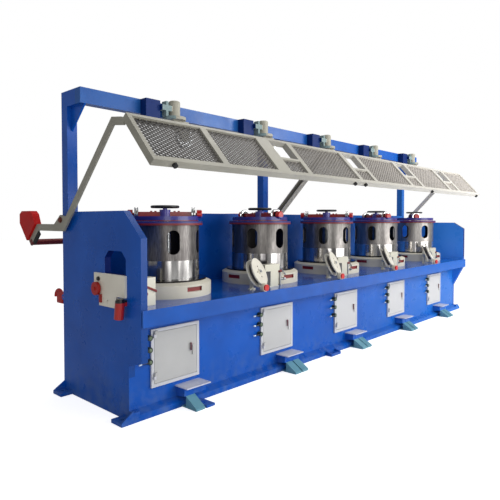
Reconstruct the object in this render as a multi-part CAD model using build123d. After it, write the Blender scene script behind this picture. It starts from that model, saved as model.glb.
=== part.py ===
from build123d import *
import os
from math import atan2, cos, radians, sin

# Straight wire drawing line of five blocks, in millimetres.
# X runs along the machine, the operator stands at -Y, and Z is up from the floor.
# The origin is on the floor, midway between the four corner anchor holes.

# Overall sizes
base_depth = 980.0
blocks = 5
block_pitch = 1180.0
first_block_margin = 620.0
last_block_margin = 580.0
block_axis_from_front = 450.0
running_gap = 0.3
bearing_clearance = 0.05

# Floor frame
rail_front_height = 45.0
rail_height = 72.0
rail_ledge = 55.0
rail_width = 130.0
foot_length = 95.0
foot_width = 130.0
foot_thickness = 25.0
foot_web_height = 85.0
foot_web_thickness = 12.0
anchor_hole_radius = 13.0
lug_width = 170.0
lug_length = 70.0

# Cabinet and table
panel_thickness = 8.0
table_height = 785.0
table_thickness = 14.0
lip_height = 117.0
lip_thickness = 14.0
lip_overhang = 115.0
lip_return = 30.0
plate_overhang = 95.0
plate_thickness = 50.0
wall_depth = 90.0
wall_height = 1453.0
plate_chamfer_length = 200.0
plate_chamfer_height = 188.0
plate_step_height = 425.0
plate_step_slope = 35.0
right_plate_height = 1345.0
right_chamfer_length = 150.0
right_chamfer_height = 92.0
gusset_height = 290.0

# Doors
door_width = 450.0
door_height = 420.0
door_bottom = 189.0
door_offset = -218.0
door_frame_width = 24.0
door_frame_depth = 16.0
door_leaf_depth = 14.0
door_sheet = 3.0
door_gap = 3.0
door_handle_width = 22.0
door_handle_height = 75.0
door_handle_depth = 9.0
door_handle_inset = 34.0
hinge_pin_radius = 5.0
hinge_knuckle_radius = 9.0
hinge_knuckle_length = 24.0
hinge_inset = 60.0

# Wire entry in the left end plate
entry_from_front = 218.0
entry_width = 270.0
entry_bottom = 1004.0
entry_top = 1170.0
entry_corner = 52.0
entry_box_start = 72.0
entry_box_width = 400.0
entry_box_height = 152.0
entry_box_depth = 18.0
entry_foot_start = 181.0
entry_foot_width = 222.0
entry_foot_height = 84.0
entry_foot_hole = 10.0
entry_foot_hole_start = 108.0
entry_foot_hole_height = 42.0
entry_bar_start = 362.0
entry_bar_width = 22.0
entry_bar_depth = 14.0
entry_bar_height = 60.0
entry_wheel_from_front = 418.0
entry_wheel_drop = 114.0
entry_wheel_radius = 48.0
entry_wheel_thickness = 22.0
entry_wheel_gap = 6.0
entry_pin_radius = 8.0
entry_pin_length = 30.0
knob_from_front = 82.0
knob_top = 838.0
knob_length = 128.0
knob_radius = 33.0
knob_standoff = 48.0
knob_lean = 8.0
knob_cap_height = 26.0
knob_cap_radius = 27.0
knob_arm_width = 24.0
knob_arm_height = 40.0

# Portal
post_width = 85.0
beam_top = 2405.0
beam_height = 121.0
beam_depth = 80.0
beam_reach = 208.0
middle_post_offset = 597.0
arm_gusset_leg = 190.0
arm_gusset_thickness = 14.0

# Overhead sheave brackets
bracket_width = 146.0
bracket_depth = 80.0
bracket_height = 156.0
bracket_plate_gap = 40.0
bracket_plate_width = 24.0
bracket_plate_drop = 28.0
hinge_lug_drop = 34.0
swivel_offset = 224.0
swivel_radius = 50.0
swivel_height = 141.0
swivel_rise = 18.0
swivel_rounding = 16.0
flange_radius = 100.0
flange_thickness = 26.0
hinge_lug_height = 46.0
hinge_lug_depth = 60.0
sheave_radius = 90.0
sheave_width = 30.0
sheave_groove = 10.0
sheave_axle_radius = 12.0
sheave_offset = 110.0
sheave_drop = 120.0
sheave_hub_radius = 30.0
sheave_web_depth = 7.0
sheave_rim = 26.0
fork_thickness = 10.0
fork_gap = 5.0
fork_width = 60.0

# Drawing blocks
housing_radius = 377.0
housing_height = 120.0
housing_chamfer = 20.0
housing_chamfer_width = 37.0
housing_slots = 4
housing_slot_width = 148.0
housing_slot_height = 36.0
housing_slot_depth = 20.0
housing_slot_drop = 54.0
spindle_radius = 45.0
spindle_nose_radius = 22.0
spindle_nose_length = 40.0
drum_radius = 277.0
drum_height = 471.0
drum_wall = 12.0
drum_foot_flange = 58.0
drum_foot_height = 13.0
drum_band_height = 162.0
drum_band_step = 3.0
drum_rim_radius = 307.0
drum_rim_height = 30.0
drum_web_thickness = 14.0
drum_slots = 6
drum_slot_width = 103.0
drum_slot_height = 190.0
drum_slot_centre = 307.0
drum_turns = [246.0, 206.0, 206.5, 198.0, 238.0]

# Flyer on top of each drum
flyer_gap = 3.0
flyer_ring_radius = 273.0
flyer_ring_width = 70.0
flyer_ring_height = 38.0
flyer_bar_width = 42.0
flyer_bar_height = 38.0
flyer_bar_reach = 215.0
flyer_hub_radius = 45.0
flyer_hub_height = 56.0
pulley_radius = 55.0
pulley_width = 28.0
pulley_groove = 12.0
pulley_lip = 5.0
pulley_reach = 232.0
pulley_pin_radius = 12.0
cap_radius = 36.0
cap_end = 303.0
cap_length = 42.0
cap_bevel = 6.0
bar_bolt_radius = 9.0
bar_bolt_height = 8.0
bar_bolt_spacing = 34.0
bar_bolt_reach = 78.0
hand_wheel_radius = 118.0
hand_wheel_tube = 11.0
hand_wheel_bars = 2
hand_wheel_lift = 34.0
hand_wheel_stem = 18.0
hand_wheel_spoke = 8.0
flyer_turns = [322.0, 263.5, 300.0, 241.0, 212.0]

# Guide discs, die boxes and table fittings of blocks 2 to 5
disc_radius = 125.0
disc_width = 60.0
disc_groove_width = 38.0
disc_groove_depth = 32.0
disc_pin_radius = 16.0
disc_pin_length = 46.0
disc_yaw = 19.0
disc_lift = 25.0
disc_offset = -531.0
disc_from_front = -20.0
disc_height = 945.0
disc_hub_radius = 26.0
disc_hub_height = 6.0
disc_bolt_circle = 48.0
disc_bolt_radius = 7.0
disc_bolts = 4
bracket_boss_gap = 6.0
bracket_boss_radius = 32.0
bracket_boss_length = 34.0
bracket_leg_width = 26.0
bracket_foot_width = 70.0
bracket_foot_thickness = 12.0
die_from_front = 30.0
die_lid_offset = -300.0
die_lid_length = 200.0
die_lid_depth = 75.0
die_lid_height = 60.0
die_body_offset = -275.0
die_body_length = 104.0
die_body_depth = 60.0
die_body_height = 143.0
die_foot_thickness = 10.0
die_bore_radius = 9.0
clamp_rod_radius = 6.0
clamp_knob_radius = 13.0
clamp_knob_length = 32.0
clamp_rod_length = 26.0
clamp_drop = 9.0
tap_offset = -146.0
tap_radius = 9.0
tap_base_radius = 22.0
tap_base_height = 8.0
tap_height = 162.0
tap_tee_radius = 14.0
tap_spout_radius = 6.0
tap_stub_height = 55.0
tap_stub_length = 46.0
tap_knob_radius = 12.0
tap_knob_length = 24.0
tap_pipe_reach = 79.0
tap_pipe_drop = 71.0
first_box_end = 160.0
first_box_depth = 75.0
first_box_height = 198.0
first_lever_start = 92.0
first_lever_reach = 122.0
first_lever_height = 152.0
first_lever_fall = 54.0
first_lever_width = 16.0
first_lever_thickness = 10.0
first_knob_offset = 116.0
first_knob_height = 88.0
first_knob_radius = 14.0
first_knob_length = 22.0
button_radius = 34.0
button_offset = -572.0
button_collar_length = 33.0
button_head_radius = 27.0
button_head_length = 15.0
button_setback = 10.0

# Valves and pedals
valve_radius = 20.0
valve_length = 38.0
valve_flange = 8.0
valve_neck_radius = 13.0
valve_lever_length = 75.0
valve_lever_radius = 4.0
valve_tip_radius = 7.0
valve_tip_length = 20.0
valve_pitch = 85.0
valve_top = 554.0
valve_offset = -465.0
hood_width = 235.0
hood_depth = 140.0
hood_thickness = 8.0
hood_overlap = 10.0
hood_height = 148.0
hood_offset = -102.0
pedal_box_reach = 42.0
pedal_width = 85.0
pedal_spacing = 101.0
pedal_length = 157.0
pedal_height = 88.0
pedal_toe_height = 18.0
pedal_base_thickness = 12.0

# Swinging guard
guard_slope = 47.7
guard_length = 453.0
guard_depth = 54.0
guard_top_from_front = 10.0
guard_top_height = 2105.0
guard_side_bar = 34.0
guard_top_bar = 26.0
guard_bottom_bar = 38.0
guard_divider = 62.0
guard_wide_divider = 165.0
guard_window_width = 250.0
guard_window_height = 215.0
guard_window_offset = -410.0
guard_first_divider_offset = -22.0
mesh_thickness = 4.0
mesh_cell = 72.0
mesh_bar = 10.0
arm_thickness = 16.0
arm_gap = 24.0
arm_width = 56.0
arm_root = 22.0
middle_arm_thickness = 75.0
middle_arm_gap = 6.0
middle_arm_web = 6.0
pivot_height = 1388.0
pivot_radius = 14.0
boss_radius = 40.0
neck_rise = 34.0
neck_reach = 114.0
neck_back = 86.0
elbow_from_front = 175.0
elbow_height = 2070.0
knee_setback = 35.0
lever_height = 1326.0
lever_bend_reach = 410.0
lever_end_reach = 565.0
lever_end_height = 1185.0
tie_bar_radius = 26.0
tie_bar_setback = 30.0
tie_bar_rise = 10.0
weight_thickness = 60.0
weight_grip = 0.97
weight_reach = 720.0
weight_length = 255.0
weight_top_length = 165.0
weight_height = 140.0
weight_crown = 27.0
weight_heel = 34.0
pad_start = 20.0
pad_length = 130.0
pad_thickness = 35.0
bumper_radius = 18.0
bumper_height = 22.0
bumper_places = [140.0, 2397.0, 2597.0, 4250.0, 5860.0]
notch_clearance = 8.0
notch_depth = 180.0

# Rear lever
lever_bracket_offset = 8.0
lever_bracket_thickness = 12.0
rear_lever_pivot = 24.0
rear_lever_height = 760.0
rear_lever_length = 125.0
rear_lever_rise = 28.0
rear_lever_width = 22.0
rear_lever_thickness = 18.0
rear_lever_pin = 7.0

length = first_block_margin + (blocks - 1) * block_pitch + last_block_margin
front = -base_depth / 2
back = base_depth / 2
left = -length / 2
right = length / 2
block_x = [left + first_block_margin + i * block_pitch for i in range(blocks)]
block_y = front + block_axis_from_front
wall_front = back - wall_depth
beam_face = wall_front - beam_reach
pivot_y = back - wall_depth / 2
panel_front = front + rail_ledge
housing_top = table_height + housing_height
drum_bottom = housing_top + running_gap
drum_top = drum_bottom + drum_height
middle_post_x = block_x[1] + middle_post_offset
post_x = [left + post_width / 2, middle_post_x, right - post_width / 2]
nodes = {}


def block(x0, x1, y0, y1, z0, z1):
    """A box between two corners."""
    centre = Pos((x0 + x1) / 2, (y0 + y1) / 2, (z0 + z1) / 2)
    return centre * Box(x1 - x0, y1 - y0, z1 - z0)


def post(x, y, z0, z1, radius):
    """A vertical round bar."""
    return Pos(x, y, z0) * Cylinder(radius, z1 - z0, align=(Align.CENTER, Align.CENTER, Align.MIN))


def bar_x(x0, x1, y, z, radius):
    """A round bar along X."""
    return Pos((x0 + x1) / 2, y, z) * Rot(0, 90, 0) * Cylinder(radius, x1 - x0)


def bar_y(x, y0, y1, z, radius):
    """A round bar along Y."""
    return Pos(x, (y0 + y1) / 2, z) * Rot(90, 0, 0) * Cylinder(radius, y1 - y0)


def profile_x(points, x0, x1):
    """A side outline of (y, z) points, drawn out along X."""
    face = make_face(Polyline(*points, close=True))
    return extrude(Plane.YZ.offset(x0) * face, x1 - x0)


def profile_y(points, y0, y1):
    """A front outline of (x, z) points, drawn out along Y."""
    face = make_face(Polyline(*points, close=True))
    plane = Plane(origin=(0, y1, 0), x_dir=(1, 0, 0), z_dir=(0, -1, 0))
    return extrude(plane * face, y1 - y0)


def band(points, width):
    """The outline of a flat bar of even width along a path of (y, z) points."""
    sides = []
    for side in (1, -1):
        edge = []
        for i, (y, z) in enumerate(points):
            before = points[max(i - 1, 0)]
            after = points[min(i + 1, len(points) - 1)]
            first = atan2(z - before[1], y - before[0]) if i else None
            last = atan2(after[1] - z, after[0] - y) if i < len(points) - 1 else None
            first = last if first is None else first
            last = first if last is None else last
            turn = (last - first) / 2
            reach = side * width / 2 / cos(turn)
            angle = first + turn
            edge.append((y - reach * sin(angle), z + reach * cos(angle)))
        sides.append(edge)
    return sides[0] + sides[1][::-1]


# Floor frame
def corner_foot(side, end):
    """An anchor lug outside an end plate, with a slanting web towards the plate."""
    x_plate = side * length / 2
    y_middle = end * (base_depth / 2 - foot_width / 2)
    pad = block(
        min(x_plate, x_plate + side * foot_length),
        max(x_plate, x_plate + side * foot_length),
        y_middle - foot_width / 2,
        y_middle + foot_width / 2,
        0,
        foot_thickness,
    )
    pad -= post(x_plate + side * foot_length / 2, y_middle, 0, foot_thickness, anchor_hole_radius)
    y_web = y_middle + end * (foot_width / 2 - foot_web_thickness)
    outline = [
        (x_plate, foot_thickness),
        (x_plate + side * foot_length, foot_thickness),
        (x_plate, foot_web_height),
    ]
    web = profile_y(outline, min(y_web, y_web + end * foot_web_thickness),
                    max(y_web, y_web + end * foot_web_thickness))
    return pad + web


def middle_lug(end):
    """An anchor lug before or behind the rail, between two slanting webs."""
    y_rail = end * base_depth / 2
    y_tip = y_rail + end * lug_length
    x0 = middle_post_x - lug_width / 2
    x1 = middle_post_x + lug_width / 2
    lug = block(x0, x1, min(y_rail, y_tip), max(y_rail, y_tip), 0, foot_thickness)
    lug -= post(middle_post_x, y_rail + end * lug_length / 2, 0, foot_thickness, anchor_hole_radius)
    outline = [(y_rail, foot_thickness), (y_tip, foot_thickness), (y_rail, rail_front_height)]
    for x in (x0, x1 - foot_web_thickness):
        lug += profile_x(outline, x, x + foot_web_thickness)
    return lug


def floor_frame():
    """Front and back rails, cross rails at the ends, and all the anchor lugs."""
    inner_left = left + plate_thickness
    inner_right = right - plate_thickness
    ledge = [
        (front, 0),
        (front + rail_width, 0),
        (front + rail_width, rail_height),
        (panel_front, rail_height),
        (front, rail_front_height),
    ]
    frame = profile_x(ledge, left, right)
    frame += block(left, right, back - rail_width, back, 0, rail_height)
    for x0, x1 in ((left, inner_left), (inner_right, right)):
        frame += block(x0, x1, front, back, 0, rail_height)
    for side in (-1, 1):
        for end in (-1, 1):
            frame += corner_foot(side, end)
    for end in (-1, 1):
        frame += middle_lug(end)
    return frame


# Cabinet
def door_rect(i, inset):
    """The left, right, bottom and top edges of a door frame, drawn in by an inset."""
    x0 = block_x[i] + door_offset - door_width / 2 + inset
    x1 = block_x[i] + door_offset + door_width / 2 - inset
    return x0, x1, door_bottom + inset, door_bottom + door_height - inset


def front_panel():
    """The cabinet's front sheet, open behind each door."""
    top = table_height - table_thickness
    y1 = panel_front + panel_thickness
    sheet = block(left + plate_thickness, right - plate_thickness, panel_front, y1, rail_height, top)
    for i in range(blocks):
        x0, x1, z0, z1 = door_rect(i, door_frame_width)
        sheet -= block(x0, x1, panel_front - 1, y1 + 1, z0, z1)
    return sheet


def door_frames():
    """A raised frame round each door opening."""
    frames = Part()
    y0 = panel_front - door_frame_depth
    for i in range(blocks):
        x0, x1, z0, z1 = door_rect(i, 0)
        a0, a1, b0, b1 = door_rect(i, door_frame_width)
        frame = block(x0, x1, y0, panel_front, z0, z1) - block(a0, a1, y0, panel_front, b0, b1)
        x, y = door_hinge(i)
        for z in (z0 + hinge_inset, z1 - hinge_inset):
            knuckle = post(x, y, z, z + hinge_knuckle_length, hinge_knuckle_radius)
            knuckle += block(a0 - door_frame_width / 2, x, y - hinge_knuckle_radius, y0,
                             z, z + hinge_knuckle_length)
            frame += knuckle - post(x, y, z, z + hinge_knuckle_length,
                                    hinge_pin_radius + bearing_clearance)
        frames += frame
    return frames


def door_hinge(i):
    """The hinge axis of a door, in plan."""
    x0, x1, z0, z1 = door_rect(i, door_frame_width)
    return x0 + door_gap, panel_front - door_frame_depth - hinge_knuckle_radius


def door(i):
    """A door leaf with folded edges, a slim handle, and its hinge pin."""
    x0, x1, z0, z1 = door_rect(i, door_frame_width + door_gap)
    y0 = panel_front - door_frame_depth
    y1 = y0 + door_leaf_depth
    leaf = block(x0, x1, y0, y1, z0, z1)
    leaf -= block(x0 + door_sheet, x1 - door_sheet, y0 + door_sheet, y1, z0 + door_sheet, z1 - door_sheet)
    handle_x = x1 - door_handle_inset
    handle_z = (z0 + z1) / 2
    leaf += block(handle_x - door_handle_width / 2, handle_x + door_handle_width / 2,
                  y0 - door_handle_depth, y0,
                  handle_z - door_handle_height / 2, handle_z + door_handle_height / 2)
    x, y = door_hinge(i)
    a0, a1, b0, b1 = door_rect(i, 0)
    for z in (b0 + hinge_inset, b1 - hinge_inset):
        z_seat = z + hinge_knuckle_length + running_gap
        z_top = z_seat + hinge_knuckle_length
        leaf += post(x, y, z, z_top, hinge_pin_radius)
        leaf += post(x, y, z_seat, z_top, hinge_knuckle_radius)
        leaf += block(x, x + door_frame_width, y, y0, z_seat, z_top)
    return leaf


def table_top():
    """The table plate between the end plates, with a front lip along the whole length."""
    y_lip = front - lip_overhang
    y_plate = front - plate_overhang
    z_sheet = table_height - table_thickness
    inner_left = left + plate_thickness
    inner_right = right - plate_thickness
    table = block(inner_left, inner_right, y_plate, wall_front, z_sheet, table_height)
    table += block(left, right, y_lip, y_plate, z_sheet, table_height)
    z_lip = table_height - lip_height
    table += block(left, right, y_lip, y_lip + lip_thickness, z_lip, table_height)
    table += block(inner_left, inner_right, y_lip, y_lip + lip_return, z_lip, z_lip + lip_thickness)
    return table


def back_wall():
    """The closed box wall behind the drums, notched for the middle guard arm."""
    wall = block(left, right, wall_front, back, rail_height, wall_height)
    x0, x1 = middle_arm_x()
    notch = block(x0 - notch_clearance, x1 + notch_clearance, wall_front - 1, back + 1,
                  wall_height - notch_depth, wall_height + 1)
    return wall - notch


def end_plate(x0, height, chamfer_length, chamfer_height, foot_outline):
    """An end plate with a chamfered front corner; the outline's foot is given."""
    y_edge = front - plate_overhang
    outline = [
        (wall_front, rail_height),
        (wall_front, height),
        (y_edge + chamfer_length, height),
        (y_edge, height - chamfer_height),
    ]
    return profile_x(outline + foot_outline, x0, x0 + plate_thickness)


def left_end_plate():
    """The left end plate, straight down to its step, with the wire entry opening."""
    y_edge = front - plate_overhang
    foot = [
        (y_edge, plate_step_height),
        (panel_front, plate_step_height - plate_step_slope),
        (panel_front, rail_height),
    ]
    plate = end_plate(left, wall_height, plate_chamfer_length, plate_chamfer_height, foot)
    y0 = front + entry_from_front - entry_width / 2
    y1 = y0 + entry_width
    hole = [
        (y0, entry_bottom),
        (y1, entry_bottom),
        (y1, entry_top - entry_corner),
        (y1 - entry_corner, entry_top),
        (y0 + entry_corner, entry_top),
        (y0, entry_top - entry_corner),
    ]
    return plate - profile_x(hole, left - 1, left + plate_thickness + 1)


def right_end_plate():
    """The right end plate, with a tapered gusset under the table lip."""
    y_edge = front - plate_overhang
    z_lip = table_height - lip_height
    foot = [
        (y_edge, z_lip),
        (panel_front, z_lip - gusset_height),
        (panel_front, rail_height),
    ]
    return end_plate(right - plate_thickness, right_plate_height, right_chamfer_length,
                     right_chamfer_height, foot)


# Portal
def rear_posts():
    """Three posts on the back wall."""
    posts = Part()
    for x in post_x:
        posts += block(x - post_width / 2, x + post_width / 2, wall_front, back, wall_height, beam_top)
    return posts


def portal_arms():
    """The arms from the posts to the beam, each with a gusset below."""
    y_beam = beam_face
    z0 = beam_top - beam_height
    arms = Part()
    for x in post_x:
        arm = block(x - post_width / 2, x + post_width / 2, y_beam + beam_depth, wall_front, z0, beam_top)
        outline = [(wall_front, z0), (y_beam, z0), (wall_front, z0 - arm_gusset_leg)]
        arm += profile_x(outline, x - arm_gusset_thickness / 2, x + arm_gusset_thickness / 2)
        arms += arm
    return arms


def overhead_beam():
    """The long beam in front of the arms."""
    y_beam = beam_face
    return block(left, right, y_beam, y_beam + beam_depth, beam_top - beam_height, beam_top)


def sheave_centre(i):
    """Where an overhead sheave turns: x, y and z."""
    y = beam_face - bracket_depth
    z = beam_top - swivel_height - flange_thickness - sheave_drop
    return block_x[i] + swivel_offset + sheave_offset, y, z


def sheave_brackets():
    """Bracket box, hinge lugs, swivel sleeve, flange and sheave fork over each block."""
    brackets = Part()
    y_beam = beam_face
    z0 = beam_top - bracket_height
    for i in range(blocks):
        x = block_x[i]
        y_mid = y_beam - bracket_depth
        swivel_x = x + swivel_offset
        piece = block(x - bracket_width / 2, x + bracket_width / 2, y_beam - bracket_depth, y_beam,
                      z0, beam_top)
        z_lug = beam_top - hinge_lug_drop
        piece += block(x + bracket_width / 2, swivel_x, y_mid - hinge_lug_depth / 2,
                       y_mid + hinge_lug_depth / 2, z_lug - hinge_lug_height, z_lug)
        plate_x = x + bracket_width / 2 + bracket_plate_gap
        piece += block(plate_x, plate_x + bracket_plate_width, y_mid - hinge_lug_depth / 2,
                       y_mid + hinge_lug_depth / 2, z0 + bracket_plate_drop, beam_top)
        sleeve_bottom = beam_top + swivel_rise - swivel_height
        sleeve = post(swivel_x, y_mid, sleeve_bottom, beam_top + swivel_rise, swivel_radius)
        piece += fillet(sleeve.edges().group_by(Axis.Z)[-1], swivel_rounding)
        piece += post(swivel_x, y_mid, sleeve_bottom - flange_thickness, sleeve_bottom, flange_radius)
        sx, sy, sz = sheave_centre(i)
        top = sleeve_bottom - flange_thickness
        cheek = sheave_width / 2 + fork_gap
        for side in (-1, 1):
            y0 = sy + side * cheek
            y1 = sy + side * (cheek + fork_thickness)
            outline = [
                (swivel_x - fork_width / 2, top),
                (sx + fork_width / 2, top),
                (sx + fork_width / 2, sz - fork_width / 2),
                (sx - fork_width / 2, sz - fork_width / 2),
            ]
            piece += profile_y(outline, min(y0, y1), max(y0, y1))
            piece -= bar_y(sx, min(y0, y1) - 1, max(y0, y1) + 1, sz,
                           sheave_axle_radius + bearing_clearance)
        brackets += piece
    return brackets


def sheave(i):
    """An overhead sheave with its groove and axle."""
    x, y, z = sheave_centre(i)
    half = sheave_width / 2
    outline = [
        (0, -half),
        (sheave_radius, -half),
        (sheave_radius - sheave_groove, 0),
        (sheave_radius, half),
        (0, half),
    ]
    wheel = revolve(Plane.XZ * make_face(Polyline(*outline, close=True)), Axis.Z)
    dish = Cylinder(sheave_radius - sheave_rim, sheave_web_depth)
    dish -= Cylinder(sheave_hub_radius, sheave_web_depth)
    for side in (-1, 1):
        wheel -= Pos(0, 0, side * (half - sheave_web_depth / 2)) * dish
    axle = Cylinder(sheave_axle_radius, sheave_width + 2 * fork_gap + 2 * fork_thickness)
    return Pos(x, y, z) * Rot(90, 0, 0) * (wheel + axle)


# Drawing blocks
def block_housing(i):
    """The ring casting under a drum, with shallow slots round it."""
    x = block_x[i]
    outline = [
        (0, 0),
        (housing_radius, 0),
        (housing_radius, housing_height - housing_chamfer),
        (housing_radius - housing_chamfer_width, housing_height),
        (0, housing_height),
    ]
    ring = revolve(Plane.XZ * make_face(Polyline(*outline, close=True)), Axis.Z)
    ring = Pos(x, block_y, table_height) * ring
    z = housing_top - housing_slot_drop
    for k in range(housing_slots):
        cut = Box(housing_slot_depth * 2, housing_slot_width, housing_slot_height)
        ring -= Pos(x, block_y, z) * Rot(0, 0, 360 / housing_slots * k) * Pos(housing_radius, 0, 0) * cut
    return ring


def block_housings():
    """All the ring castings."""
    return Part() + [block_housing(i) for i in range(blocks)]


def spindle_top():
    """The height of the spindle's end, inside the flyer hub."""
    return drum_top + flyer_gap + flyer_ring_height / 2


def drum_spindles():
    """The fixed spindle inside each drum, with a nose that carries the flyer."""
    spindles = Part()
    z = spindle_top()
    for x in block_x:
        spindles += post(x, block_y, housing_top, z, spindle_radius)
        spindles += post(x, block_y, z, z + spindle_nose_length, spindle_nose_radius)
    return spindles


def drum(i):
    """A hollow slotted drum with a polished band, a rim and a web on the spindle."""
    inner = drum_radius - drum_wall
    bore = spindle_radius + bearing_clearance
    band_radius = drum_radius + drum_band_step
    foot_radius = drum_radius + drum_foot_flange
    web_top = drum_height - drum_rim_height
    outline = [
        (bore, web_top - drum_web_thickness),
        (inner, web_top - drum_web_thickness),
        (inner, 0),
        (foot_radius, 0),
        (foot_radius, drum_foot_height),
        (band_radius, drum_foot_height),
        (band_radius, drum_band_height),
        (drum_radius, drum_band_height),
        (drum_radius, web_top),
        (drum_rim_radius, web_top),
        (drum_rim_radius, drum_height),
        (inner, drum_height),
        (inner, web_top),
        (bore, web_top),
    ]
    shell = revolve(Plane.XZ * make_face(Polyline(*outline, close=True)), Axis.Z)
    for k in range(drum_slots):
        slot = SlotOverall(drum_slot_height, drum_slot_width, rotation=90)
        plane = Plane(origin=(0, 0, drum_slot_centre), x_dir=(0, 1, 0), z_dir=(1, 0, 0))
        cut = extrude(plane * slot, drum_rim_radius)
        shell -= Rot(0, 0, drum_turns[i] + 360 / drum_slots * k) * cut
    return Pos(block_x[i], block_y, drum_bottom) * shell


def pulley():
    """A guide pulley with a vee groove, its axis along Z."""
    half = pulley_width / 2
    outline = [
        (0, -half),
        (pulley_radius, -half),
        (pulley_radius, pulley_lip - half),
        (pulley_radius - pulley_groove, 0),
        (pulley_radius, half - pulley_lip),
        (pulley_radius, half),
        (0, half),
    ]
    return revolve(Plane.XZ * make_face(Polyline(*outline, close=True)), Axis.Z)


def hand_wheel():
    """The round tube of the hand wheel with its crossed spokes, about the origin."""
    reach = hand_wheel_radius - hand_wheel_tube
    wheel = Torus(reach, hand_wheel_tube)
    for k in range(hand_wheel_bars):
        wheel += Rot(0, 0, 180 / hand_wheel_bars * k) * bar_x(-reach, reach, 0, 0, hand_wheel_spoke)
    return wheel


def flyer(i):
    """The turning flyer: ring, cross bar, two guide pulleys, hub and hand wheel."""
    z_bar = flyer_ring_height
    z_axis = z_bar + flyer_bar_height / 2
    ring = post(0, 0, 0, flyer_ring_height, flyer_ring_radius)
    ring -= post(0, 0, 0, flyer_ring_height, flyer_ring_radius - flyer_ring_width)
    bar = block(-flyer_bar_reach, flyer_bar_reach, -flyer_bar_width / 2, flyer_bar_width / 2,
                z_bar, z_bar + flyer_bar_height)
    hub_bottom = spindle_top() - drum_top - flyer_gap + running_gap
    hub_top = z_bar + flyer_hub_height
    hub = post(0, 0, hub_bottom, hub_top, flyer_hub_radius)
    body = ring + bar + hub
    body -= post(0, 0, 0, hub_bottom, spindle_radius + flyer_gap)
    body -= post(0, 0, hub_bottom, hub_bottom + spindle_nose_length,
                 spindle_nose_radius + bearing_clearance)
    for side in (0, 180):
        turn = Rot(0, 0, side)
        body += turn * bar_x(flyer_bar_reach, cap_end, 0, z_axis, pulley_pin_radius)
        body += turn * Pos(pulley_reach, 0, z_axis) * Rot(0, 90, 0) * pulley()
        cap = bar_x(cap_end - cap_length, cap_end, 0, z_axis, cap_radius)
        body += turn * chamfer(cap.edges().group_by(Axis.X)[-1], cap_bevel)
        for step in (0, 1):
            x = bar_bolt_reach + step * bar_bolt_spacing
            body += turn * post(x, 0, z_bar + flyer_bar_height, z_bar + flyer_bar_height + bar_bolt_height,
                                bar_bolt_radius)
    wheel_z = hub_top + hand_wheel_lift - hand_wheel_tube
    body += post(0, 0, hub_top, wheel_z + hand_wheel_tube, hand_wheel_stem)
    body += Pos(0, 0, wheel_z) * hand_wheel()
    return Pos(block_x[i], block_y, drum_top + flyer_gap) * Rot(0, 0, flyer_turns[i]) * body


# Table fittings
def disc_centre(i):
    """The middle of a guide disc's front face: x, y and z."""
    return block_x[i] + disc_offset, front + disc_from_front, disc_height


def disc_place(i):
    """The place and tilt of a guide disc: its own Z points out of its front face."""
    x, y, z = disc_centre(i)
    return Pos(x, y, z) * Rot(0, 0, disc_yaw) * Rot(90 - disc_lift, 0, 0)


def guide_disc(i):
    """A two-flange guide disc with a deep groove, a bolted hub and its own pin."""
    flange = (disc_width - disc_groove_width) / 2
    depth = disc_radius - disc_groove_depth
    outline = [
        (0, -disc_width),
        (disc_radius, -disc_width),
        (disc_radius, flange - disc_width),
        (depth, flange - disc_width),
        (depth, -flange),
        (disc_radius, -flange),
        (disc_radius, 0),
        (0, 0),
    ]
    wheel = revolve(Plane.XZ * make_face(Polyline(*outline, close=True)), Axis.Z)
    wheel += post(0, 0, 0, disc_hub_height, disc_hub_radius)
    for k in range(disc_bolts):
        hole = post(disc_bolt_circle, 0, -flange, 0, disc_bolt_radius)
        wheel -= Rot(0, 0, 360 / disc_bolts * k) * hole
    wheel += post(0, 0, -disc_width - disc_pin_length, -disc_width, disc_pin_radius)
    return disc_place(i) * wheel


def disc_brackets():
    """The bored boss behind each guide disc, on a leg with a foot on the table."""
    brackets = Part()
    for i in range(1, blocks):
        start = -disc_width - bracket_boss_gap
        place = disc_place(i)
        boss = place * post(0, 0, start - bracket_boss_length, start, bracket_boss_radius)
        bore = place * post(0, 0, start - 2 * bracket_boss_length, start + bracket_boss_gap,
                            disc_pin_radius + bearing_clearance)
        middle = (place * Pos(0, 0, start - bracket_boss_length / 2)).position
        half = bracket_leg_width / 2
        leg = block(middle.X - half, middle.X + half, middle.Y - half, middle.Y + half,
                    table_height, middle.Z)
        foot = block(middle.X - bracket_foot_width / 2, middle.X + bracket_foot_width / 2,
                     middle.Y - half, middle.Y + half, table_height, table_height + bracket_foot_thickness)
        brackets += boss + leg + foot - bore
    return brackets


def die_rect(i):
    """The lid's left, right, front and top edges."""
    x0 = block_x[i] + die_lid_offset - die_lid_length / 2
    y0 = front + die_from_front
    return x0, x0 + die_lid_length, y0, table_height + die_body_height + die_lid_height


def die_boxes():
    """The die box before each of the blocks 2 to 5: a body on a foot, and a longer lid."""
    boxes = Part()
    for i in range(1, blocks):
        x0, x1, y0, top = die_rect(i)
        z_seam = top - die_lid_height
        body_x = block_x[i] + die_body_offset
        half = die_body_length / 2
        box = block(x0, x1, y0, y0 + die_lid_depth, z_seam, top)
        box += block(body_x - half, body_x + half, y0, y0 + die_body_depth, table_height, z_seam)
        box += block(body_x - half - die_foot_thickness, body_x + half + die_foot_thickness,
                     y0, y0 + die_lid_depth, table_height, table_height + die_foot_thickness)
        z_bore = (z_seam + top) / 2
        y_bore = y0 + die_lid_depth / 2
        box -= bar_x(x0, x1, y_bore, z_bore, die_bore_radius)
        boxes += box
    return boxes


def first_die_box():
    """The first block's die box, standing against the left end plate."""
    x0 = left + plate_thickness
    y0 = front + die_from_front
    return block(x0, left + plate_thickness + first_box_end, y0, y0 + first_box_depth,
                 table_height, table_height + first_box_height)


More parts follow.
